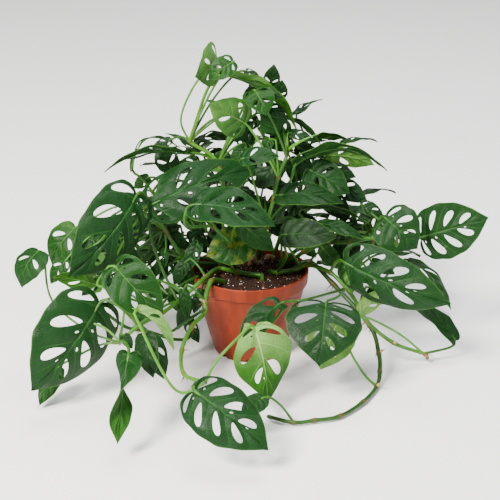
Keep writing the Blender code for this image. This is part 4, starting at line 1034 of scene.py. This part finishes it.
def bladeMesh(leaf):
    # points, faces, sides, phase, outward and tone of a whole blade with both faces and its edges
    length = leafFrame(leaf)[1]
    long, wide = next(steps for longest, *steps in plant["bladeSteps"] if length <= longest)
    pieces = []
    for side in (1, -1):
        found, tris, phase = halfBlade(leaf, side, long, wide)
        flat = veinPoint(found[:, 0], found[:, 1])
        flat[:, 1] *= 1 - plant["notch"] * found[:, 1] ** 6 * (0.5 + 0.5 * np.cos(math.tau * phase))
        if side < 0:
            flat = flat * np.array([1.0, -1.0])
            tris = tris[:, ::-1]
        pieces.append((flat, tris, phase, found))
    flat = np.concatenate([p[0] for p in pieces])
    tris = np.concatenate([pieces[0][1], pieces[1][1] + len(pieces[0][0])])
    phase = np.concatenate([p[2] for p in pieces])
    found = np.concatenate([p[3] for p in pieces])
    # the halves meet on the midrib and close to a point at both ends
    _, first, index = np.unique(np.round(flat / 2e-5).astype(int), axis=0, return_index=True,
                                return_inverse=True)
    tris = index.reshape(-1)[tris]
    tris = tris[(tris[:, 0] != tris[:, 1]) & (tris[:, 1] != tris[:, 2]) & (tris[:, 0] != tris[:, 2])]
    flat, phase, outward, t = flat[first], phase[first], found[first, 1], found[first, 0]
    outward = np.where(np.abs(flat[:, 1]) < 1e-6, 0.0, outward)
    x, y = flat[:, 0], flat[:, 1]
    here = bladePoints(leaf, x, y)
    normal = np.cross(bladePoints(leaf, x + 1e-3, y) - here, bladePoints(leaf, x, y + 1e-3) - here)
    normal /= np.linalg.norm(normal, axis=1)[:, None]
    ease = np.clip(1 - np.abs(y) / plant["midribReach"], 0, 1)
    bulge = 0.5 * (1 - np.cos(math.tau * phase)) * np.sqrt(np.clip(np.sin(math.pi * outward), 0, 1))
    bulge *= np.clip((t + 0.1) / 0.3, 0, 1) * np.clip((1 - t) / 0.25, 0, 1)
    relief = length * (plant["quiltHeight"] * bulge - plant["midribGroove"] * ease**2)
    chance = random.Random(leaf["name"])
    for _ in range(3):  # slow ripples, different on every leaf
        kx, ky, turn = chance.uniform(4, 11), chance.uniform(-9, 9), chance.uniform(0, 6.28)
        relief += plant["ripple"] * length * np.sin(kx * x + ky * y + turn) * np.clip(np.abs(y) / 0.1, 0, 1)
    half = plant["bladeThickness"] / 2
    top = here + normal * (relief + half)[:, None]
    bottom = here + normal * (relief - half - 0.5 * half * ease)[:, None]
    count = len(flat)
    edges = {(int(e[0]), int(e[1])) for k in range(3) for e in np.roll(tris, k, axis=1)[:, :2]}
    walls = [(a, b) for a, b in edges if (b, a) not in edges]
    walls.sort()
    faces = [tuple(f) for f in tris.tolist()]
    faces += [tuple(i + count for i in reversed(f)) for f in tris.tolist()]
    faces += [(a, a + count, b + count, b) for a, b in walls]
    sides = [0] * len(tris) + [1] * len(tris) + [0] * len(walls)
    tone = leaf["tone"] + (toneEnds.get(leaf["name"], leaf["tone"]) - leaf["tone"]) * np.clip(x, 0, 1)
    points = np.concatenate([top, bottom]) * mm
    return points, faces, sides, np.tile(phase, 2), np.tile(outward, 2), np.tile(tone, 2)


def leavesPiece(stemName, leaves, upper, lower):
    # all the blades of one stem as one piece
    points, faces, sides, phase, outward, tone, ageing = [], [], [], [], [], [], []
    start = 0
    for leaf in leaves:
        p, f, s, u, v, shades = bladeMesh(leaf)
        points.append(p)
        faces += [tuple(int(i) + start for i in face) for face in f]
        sides += s
        phase.append(u)
        outward.append(v)
        tone += shades.tolist()
        ageing += [1.0 if leaf["name"] == "yellowing" else 0.0] * len(p)
        start += len(p)
    piece = meshPiece(stemName + "Leaves", np.concatenate(points), faces, [upper, lower])
    mesh = piece.data
    mesh.polygons.foreach_set("material_index", sides)
    mesh.attributes.new("leafTone", "FLOAT", "POINT").data.foreach_set("value", tone)
    mesh.attributes.new("leafAgeing", "FLOAT", "POINT").data.foreach_set("value", ageing)
    loops = np.empty(len(mesh.loops), np.int32)
    mesh.loops.foreach_get("vertex_index", loops)
    uv = np.stack([np.concatenate(phase)[loops], np.concatenate(outward)[loops]], 1)
    mesh.uv_layers.new(name="veinMap").data.foreach_set("uv", uv.astype(np.float32).ravel())
    mesh.set_sharp_from_angle(angle=math.radians(plant["sharpEdge"]))
    return piece


def stalkLine(leaf, root):
    # from the node over its bends, or in an arch, into the midrib of the blade
    grip, start = (Vector(p) for p in bladePoints(leaf, np.array([0.09, 0.0]), np.array([0.0, 0.0])))
    up = leafFrame(leaf)[3]
    points = [root, *[Vector(p) for p in leaf["via"]]]
    along = (grip - start).normalized()
    inward = (start - points[-1]).normalized()
    if not leaf["via"]:
        inward = (inward - Vector((0.0, 0.0, 0.5))).normalized()
    bend = inward + along
    if bend.length < 0.7:
        bend = along * 0.3 + inward + up * 0.9
    entry = start - bend.normalized() * min(7.0, 0.45 * (start - points[-1]).length)
    if leaf["via"]:
        return smoothCurve([*points, entry], 8) + smoothCurve([entry, start, grip], 4)[1:]
    over = (root + entry) / 2 + Vector((0.0, 0.0, 0.22 * (entry - root).length))
    shares = [k / 14 for k in range(15)]
    line = [root * (1 - s) ** 2 + over * 2 * s * (1 - s) + entry * s**2 for s in shares]
    return line + smoothCurve([entry, start, grip], 4)[1:]


def stemLines(stem, leaves):
    # lines of a stem and its stalks: (points in mm, radii in mm, ages, node marks)
    root = Vector(stem["route"][0])
    line = [Vector((root.x, root.y, plant["soilTop"] - plant["rootDepth"])),
            Vector((root.x, root.y, plant["soilTop"] - 6.0)), Vector((root.x, root.y, plant["soilTop"]))]
    steps = plant["stemSteps"]
    line += smoothCurve(stem["route"], steps)
    last = len(line) - 1
    nodes = [last - steps * (len(stem["route"]) - 1 - k) for k in range(1, len(stem["route"]))]
    radius, age, mark = [], [], []
    for i in range(last + 1):
        near = min(abs(i - n) for n in nodes)
        size = plant["stemRadius"] + (plant["stemTipRadius"] - plant["stemRadius"]) * i / last
        radius.append(size * (1 + (plant["nodeSwell"] - 1) * math.exp(-((near / 1.3) ** 2))))
        age.append(stem["age"] + 0.1 - 0.2 * i / last)
        mark.append(0.85 * math.exp(-((near / 0.8) ** 2)))
    radius[-1] *= 0.6
    lines = [(line, radius, age, mark)]
    for leaf in leaves:
        stalk = stalkLine(leaf, Vector(stem["route"][leaf["node"]]))
        length = leafFrame(leaf)[1]
        size = next(radius for longest, radius in plant["stalkRadii"] if length < longest)
        tip = [1.0] * (len(stalk) - 4) + [1.08, 0.9, 0.7, 0.45]
        radii = [size * k * (1.0 + 0.4 * math.exp(-i / 1.6)) for i, k in enumerate(tip)]
        # a stalk's age follows its leaf's tone: a young leaf gets a young stalk, and a leaf's painted shade
        # darkens its stalk too
        lines.append((stalk, radii, [0.45 - 0.42 * leaf["tone"]] * len(stalk),
                      [0.35 * math.exp(-i / 1.2) for i in range(len(stalk))]))
    return lines


aerialRoot = {
    "firstNode": 2,
    "count": (0, 1, 2, 3),  # a chance pick for each node
    "length": (4, 12),
    "taper": 0.6,  # how much thicker it starts than its tip
    "tipRadius": 0.2,
    "steps": 6,
}


def rootLines(stem, chance):
    # wiry aerial roots at the outer nodes
    lines = []
    steps = aerialRoot["steps"]
    for place in stem["route"][aerialRoot["firstNode"]:]:
        for _ in range(chance.choice(aerialRoot["count"])):
            way = [chance.uniform(-1, 1), chance.uniform(-1, 1), chance.uniform(-1.2, 0.1)]
            way = Vector(way).normalized()
            length = chance.uniform(*aerialRoot["length"])
            line, radii = [], []
            for k in range(steps + 1):
                s = k / steps
                curl = Vector((math.sin(3 * s + length) * 1.2, math.cos(2.5 * s + length) * 1.2,
                               -2.0 * s * s))
                line.append(Vector(place) + way * (2.0 + length * s) + curl * s)
                radii.append(aerialRoot["taper"] * (1 - s) + aerialRoot["tipRadius"])
            if line[-1].z > 2.0:
                lines.append((line, radii, [0.5] * len(line), [1.0] * len(line)))
    return lines


tubeSkins = {
    # sides, and height and size of the bumps in millimetres
    "living": (14, 0.5, 5.0),
    "root": (6, 0.3, 1.5),
    "dry": (10, 1.2, 3.0),
}


def drawTubes(name, lines, tree, skin, finish):
    # tubes along the lines, as one plain mesh piece
    sides, bumpiness, bumpSize = tubeSkins[skin]
    points, edges, radii, ages, marks = [], [], [], [], []
    for line, radius, age, mark in lines:
        edges += [(len(points) + i, len(points) + i + 1) for i in range(len(line) - 1)]
        points += [p * mm for p in line]
        radii += [r * mm for r in radius]
        ages += age
        marks += mark
    mesh = bpy.data.meshes.new(name + "Lines")
    mesh.from_pydata(points, edges, [])
    for label, numbers in (("tubeRadius", radii), ("stemAge", ages), ("nodeMark", marks)):
        mesh.attributes.new(label, "FLOAT", "POINT").data.foreach_set("value", numbers)
    drawn = newObject(name + "Lines", mesh)
    piece = runTree(drawn, tree, name, {
        "Sides": sides, "Bumpiness": bumpiness * mm, "Bump Size": bumpSize * mm, "Finish": finish})
    bpy.data.objects.remove(drawn, do_unlink=True)
    return piece


spikes = {
    # rolled new leaves: points and widest radius
    "upper_right": [([(45, 12, 262), (46, 8, 272), (46, 5, 284), (47, 3, 293)], 1.5),
                    ([(46, 12, 264), (55, 5, 274), (72, 0, 285), (97, -2, 296)], 1.6)],
}

driedBits = [
    # papery sheaths and woody ends: stem, node on its route, way it points, length, radius, finish
    ("loop_right", 6, (0.3, -0.5, 0.7), 15.0, 2.4, "paperySheath"),
    ("loop_right", 4, (0.6, 0.1, 0.6), 12.0, 2.2, "paperySheath"),
    ("loop_left", 2, (-0.5, -0.4, 0.6), 13.0, 2.3, "paperySheath"),
    ("trail_right", 8, (0.4, -0.6, 0.5), 11.0, 2.0, "paperySheath"),
    ("trail_right", 9, (0.8, -0.2, -0.5), 7.0, 2.4, "dryBark"),
    ("trail_left", 3, (-0.2, -0.6, 0.7), 11.0, 2.1, "paperySheath"),
    ("centre", 0, (-0.5, -0.6, 0.8), 19.0, 4.8, "dryBark"),
    ("centre", 0, (0.3, -0.7, 0.7), 13.0, 2.8, "paperySheath"),
    ("back_centre", 0, (-0.5, -0.4, 0.9), 19.0, 3.8, "dryBark"),
    ("upper_right", 0, (-0.5, -0.8, 0.6), 18.0, 4.2, "dryBark"),
    ("upper_right", 0, (0.2, -0.9, 0.8), 13.0, 2.6, "paperySheath"),
]


def extraLines(stemName):
    # rolled new leaves and bare stalks
    lines = []
    for points, radius, age in bareStalks.get(stemName, []):
        line = smoothCurve(points, 8)
        radii = [radius] * (len(line) - 1) + [radius * 0.7]
        lines.append((line, radii, [age] * len(line), [0.0] * len(line)))
    for points, widest in spikes.get(stemName, []):
        line = smoothCurve(points, 6)
        shares = [i / (len(line) - 1) for i in range(len(line))]
        bulge = [0.6 + 0.7 * math.sin(math.pi * min(1.0, s + 0.25)) for s in shares]
        radii = [max(0.18, widest * b * (1 - s**3)) for b, s in zip(bulge, shares)]
        lines.append((line, radii, [0.05] * len(line), [0.0] * len(line)))
    return lines


def bitLine(stem, bit):
    # a sheath narrows to a dry point, a woody end stays thick
    _, node, way, length, radius, finish = bit
    start, way = Vector(stem["route"][node]), Vector(way).normalized()
    shares = [k / 8 for k in range(9)]
    line = [start + way * length * s + Vector((0, 0, -2.5 * s * s)) for s in shares]
    end = 0.85 if finish == "dryBark" else 0.12
    radii = [radius * (1 - (1 - end) * s**1.6) for s in shares]
    return [(line, radii, [0.5] * len(line), [0.0] * len(line))]


# a 6-inch nursery pot, in millimetres
pot = {
    "height": 112.0,
    "rimRadius": 75.0,
    "rimBand": 17.0,
    "step": 2.2,
    "innerStep": 0.6,  # the inside widens by this under the band
    "neckRadius": 71.0,
    "baseRadius": 46.5,
    "wall": 1.6,
    "floor": 2.0,
    "footRing": 38.0,
    "footLine": 10.0,
    "ledge": 0.5,
    "edge": 0.8,  # rounding of the profile's corners
    "sharpEdge": 35.0,
    "sides": 144,
    "drainCount": 8,
    "drainSize": (14.0, 9.0, 7.0),
    "drainTop": 5.5,
    "drainEdge": 1.6,
    "drainTurn": 22.5,
}


def innerRadius(z):
    # the pot's inside at a height
    neck = pot["height"] - pot["rimBand"]
    low, high = pot["baseRadius"] - pot["wall"], pot["neckRadius"] - pot["wall"]
    if z <= neck:
        return low + (high - low) * z / neck
    return high + pot["step"] * (z - neck) / pot["rimBand"] + pot["innerStep"]


def ringPoints(radius, z, sides):
    # a level ring of points around the pot's axis
    turns = [math.tau * k / sides for k in range(sides)]
    return [(radius * math.cos(a), radius * math.sin(a), z) for a in turns]


def rounded(corners, radius, steps=4):
    # rounds the inner corners of an open profile
    line = [Vector(corners[0])]
    for before, corner, after in zip(corners, corners[1:], corners[2:]):
        before, corner, after = Vector(before), Vector(corner), Vector(after)
        cut = min(radius, 0.45 * (corner - before).length, 0.45 * (after - corner).length)
        a = corner + (before - corner).normalized() * cut
        b = corner + (after - corner).normalized() * cut
        for k in range(steps + 1):
            s = k / steps
            line.append(a * (1 - s) ** 2 + corner * 2 * s * (1 - s) + b * s**2)
    return line + [Vector(corners[-1])]


def latheMesh(profile, sides):
    # closed turned shape; the profile starts and ends on the axis and runs up the outside
    points = [(0.0, 0.0, profile[0].y)]
    for p in profile[1:-1]:
        points += ringPoints(p.x, p.y, sides)
    points.append((0.0, 0.0, profile[-1].y))
    faces = []
    rings, last = len(profile) - 2, len(points) - 1
    for k in range(sides):
        m = (k + 1) % sides
        faces.append((0, 1 + m, 1 + k))
        for i in range(rings - 1):
            a, b = 1 + i * sides, 1 + (i + 1) * sides
            faces.append((a + k, a + m, b + m, b + k))
        top = 1 + (rings - 1) * sides
        faces.append((top + k, top + m, last))
    return [Vector(p) * mm for p in points], faces


def makePot(look):
    # a turned wall with foot line, band and rolled rim; the drain slots are cut through its foot
    neck = pot["height"] - pot["rimBand"]
    slope = (pot["neckRadius"] - pot["baseRadius"]) / neck
    line = pot["baseRadius"] + slope * pot["footLine"]
    top, rim = pot["height"], pot["rimRadius"]
    corners = [(0, 0), (pot["footRing"], 0), (pot["baseRadius"] - 2.0, 0),
               (pot["baseRadius"] - pot["ledge"], 2.0),
               (line - pot["ledge"], pot["footLine"]), (line, pot["footLine"] + 0.5),
               (pot["neckRadius"], neck - 0.8), (pot["neckRadius"] + pot["step"], neck),
               (rim - 1.2, neck + 1.0), (rim, top - 1.0), (rim - 0.7, top), (rim - 2.4, top),
               (rim - 3.0, top - 0.8), (innerRadius(neck + 0.01), neck + 0.01),
               (innerRadius(neck - 0.6), neck - 0.6), (innerRadius(4.0), 4.0),
               (innerRadius(2.0) - 1.5, pot["floor"]), (0, pot["floor"])]
    points, faces = latheMesh(rounded(corners, pot["edge"]), pot["sides"])
    piece = meshPiece("nurseryPot", points, faces, [look])
    drains = bpy.data.collections.new("drains")
    bpy.context.scene.collection.children.link(drains)
    for k in range(pot["drainCount"]):
        angle = math.tau * (k + 0.5) / pot["drainCount"] + math.radians(pot["drainTurn"])
        cut = bmesh.new()
        bmesh.ops.create_cube(cut, size=1.0)
        bmesh.ops.scale(cut, vec=Vector(pot["drainSize"]) * mm, verts=cut.verts)
        upright = [e for e in cut.edges if abs((e.verts[0].co - e.verts[1].co).normalized().x) > 0.9]
        bmesh.ops.bevel(cut, geom=upright, offset=pot["drainEdge"] * mm, segments=4, affect="EDGES")
        middle = Vector((pot["baseRadius"] - 1.0, 0.0, pot["drainTop"] - pot["drainSize"][2] / 2)) * mm
        bmesh.ops.translate(cut, vec=middle, verts=cut.verts)
        bmesh.ops.rotate(cut, cent=(0, 0, 0), matrix=Matrix.Rotation(angle, 3, "Z"), verts=cut.verts)
        mesh = bpy.data.meshes.new(f"drain{k}")
        cut.to_mesh(mesh)
        cut.free()
        drains.objects.link(bpy.data.objects.new(f"drain{k}", mesh))
    step = piece.modifiers.new("drains", "BOOLEAN")
    step.operation = "DIFFERENCE"
    step.operand_type = "COLLECTION"
    step.collection = drains
    step.solver = "EXACT"
    graph = bpy.context.evaluated_depsgraph_get()
    mesh = bpy.data.meshes.new_from_object(piece.evaluated_get(graph))
    piece.modifiers.clear()
    piece.data = mesh
    for drain in list(drains.objects):
        bpy.data.objects.remove(drain, do_unlink=True)
    bpy.data.collections.remove(drains)
    mesh.shade_smooth()
    mesh.set_sharp_from_angle(angle=math.radians(pot["sharpEdge"]))
    ready(piece, "terracotta_plastic", "pot")


soil = {
    "gap": 0.5,  # to the pot's wall, millimetres
    "rings": 60,
    "sides": 150,
    "bump": 1.6,
    # grains: finish, grains per square metre, smallest, largest, flatness, seed
    "grains": {
        "soilCrumbs": ("peatCrumb", 90000.0, 0.5, 1.7, 0.75, 11),
        "barkChips": ("pineBarkChip", 9000.0, 1.4, 3.2, 0.5, 17),
        "perliteGrains": ("perlite", 13000.0, 0.3, 1.1, 0.85, 29),
    },
}


def soilHeight(x, y):
    # broad and fine lumps, and grit
    broad = noise.noise(Vector((x * 0.045, y * 0.045, 3.1)))
    fine = noise.noise(Vector((x * 0.13, y * 0.13, 8.4)))
    grit = noise.noise(Vector((x * 0.6, y * 0.6, 1.7))) + 0.5 * noise.noise(Vector((x * 1.3, y * 1.3, 4.2)))
    return plant["soilTop"] + soil["bump"] * (broad + 0.6 * fine) + 0.7 * grit


def makeSoil(looks, tree):
    # a lumpy top with grains strewn over it, then the bed below
    wall = innerRadius(plant["soilTop"]) - soil["gap"]
    points, faces = [(0.0, 0.0, soilHeight(0, 0))], []
    rings, sides = soil["rings"], soil["sides"]
    for i in range(1, rings + 1):
        points += [(x, y, soilHeight(x, y)) for x, y, _ in ringPoints(wall * i / rings, 0.0, sides)]
    for k in range(sides):
        m = (k + 1) % sides
        faces.append((0, 1 + k, 1 + m))
        for i in range(rings - 1):
            a, b = 1 + i * sides, 1 + (i + 1) * sides
            faces.append((a + k, b + k, b + m, a + m))
    top = meshPiece("soilTopForGrains", [Vector(p) * mm for p in points], faces, [])
    for name, (finish, density, smallest, largest, flatness, seed) in soil["grains"].items():
        strewn = runTree(top, tree, name, {
            "Density": density, "Smallest": smallest * mm, "Largest": largest * mm,
            "Flatness": flatness, "Seed": seed, "Finish": looks[finish]})
        ready(strewn, "potting_soil")
    # the sides and the floor of the soil follow the pot's inside
    neck = pot["height"] - pot["rimBand"]
    start = len(points)
    outline = [(innerRadius(neck + 0.2) - soil["gap"], neck + 0.2),
               (innerRadius(neck - 0.6) - soil["gap"], neck - 0.6), (innerRadius(4.4) - soil["gap"], 4.4),
               (innerRadius(4.4) - 2.3, pot["floor"] + 0.5)]
    for radius, z in outline:
        points += ringPoints(radius, z, sides)
    points.append((0.0, 0.0, pot["floor"] + 0.5))
    rows = [1 + (rings - 1) * sides] + [start + i * sides for i in range(len(outline))]
    for a, b in zip(rows, rows[1:]):
        for k in range(sides):
            m = (k + 1) % sides
            faces.append((a + k, b + k, b + m, a + m))
    for k in range(sides):
        faces.append((rows[-1] + (k + 1) % sides, rows[-1] + k, len(points) - 1))
    bpy.data.objects.remove(top, do_unlink=True)
    bed = meshPiece("soilBed", [Vector(p) * mm for p in points], faces, [looks["dampPeatSoil"]])
    ready(bed, "potting_soil", "soil")


# the old cut stems, in millimetres
stubs = [
    {"node": "stub_1", "place": (0, 32), "radius": 3.2, "height": 9.0, "seed": 3},
    {"node": "stub_2", "place": (28, 42), "radius": 2.8, "height": 7.0, "seed": 8},
]


def makeStub(stub, look):
    # an old stem cut off above the soil: ringed, lumpy bark and a rough top
    rings, sides = 26, 28
    x, y = stub["place"]
    low = plant["soilTop"] - 0.6 * plant["rootDepth"]
    top = plant["soilTop"] + stub["height"]
    points, faces = [], []
    for i in range(rings + 1):
        z = low + (top - low) * i / rings
        lean = max(0.0, z - plant["soilTop"]) / stub["height"]
        for k in range(sides):
            a = math.tau * k / sides
            bark = noise.noise(Vector((math.cos(a) * 1.6, math.sin(a) * 1.6, z * 0.35 + stub["seed"])))
            ringed = 0.06 * math.sin(z * 2.1)
            r = stub["radius"] * (0.94 + 0.16 * bark + ringed) * (1 - 0.10 * lean)
            points.append((x + 0.6 * lean + r * math.cos(a), y - 0.4 * lean + r * math.sin(a), z))
    for i in range(rings):
        for k in range(sides):
            m = (k + 1) % sides
            faces.append((i * sides + k, i * sides + m, (i + 1) * sides + m, (i + 1) * sides + k))
    last = rings * sides
    points.append((x + 0.6, y - 0.4, top - 0.8))
    faces += [(last + k, last + (k + 1) % sides, len(points) - 1) for k in range(sides)]
    points.append((x, y, low))
    faces += [((k + 1) % sides, k, len(points) - 1) for k in range(sides)]
    name = "cutStem" + stub["node"][-1]
    piece = meshPiece(name, [Vector(p) * mm for p in points], faces, [look])
    ready(piece, "dry_stem", stub["node"])


makeCamera()
makeStudio()
print("camera and studio made")

upperLook = leafMaterial("leafUpperCuticle", False)
lowerLook = leafMaterial("leafUnderside", True)
stemFinish = stemMaterial()
dryLooks = {name: roughMaterial(name) for name in roughLooks}
print("materials made")

tubes = tubeTree()
grains = grainTree()
makePot(potMaterial())
makeSoil(dryLooks, grains)
for stub in stubs:
    makeStub(stub, dryLooks["dryBark"])
print("pot, soil and cut stems made")

for stemName, stem in stemTable.items():
    stem["age"] = stemLook["ages"].get(stemName, stemLook["age"])
    rows = stem["leaves"] + innerLeaves.get(stemName, [])
    leaves = [plainLeaf | dict(zip(leafKeys, row)) for row in rows]
    ready(leavesPiece(stemName, leaves, upperLook, lowerLook), "leaf_and_stem", stemName)
    living = stemLines(stem, leaves) + extraLines(stemName)
    ready(drawTubes(stemName + "Vine", living, tubes, "living", stemFinish), "leaf_and_stem")
    wires = rootLines(stem, random.Random(stemName))
    if wires:
        roots = drawTubes(stemName + "Roots", wires, tubes, "root", dryLooks["dryAerialRoot"])
        ready(roots, "dry_stem")
    for k, bit in enumerate(b for b in driedBits if b[0] == stemName):
        dried = drawTubes(f"{stemName}Dry{k + 1}", bitLine(stem, bit), tubes, "dry", dryLooks[bit[5]])
        ready(dried, "dry_stem")
    print("stem", stemName, "made with", len(leaves), "leaves")
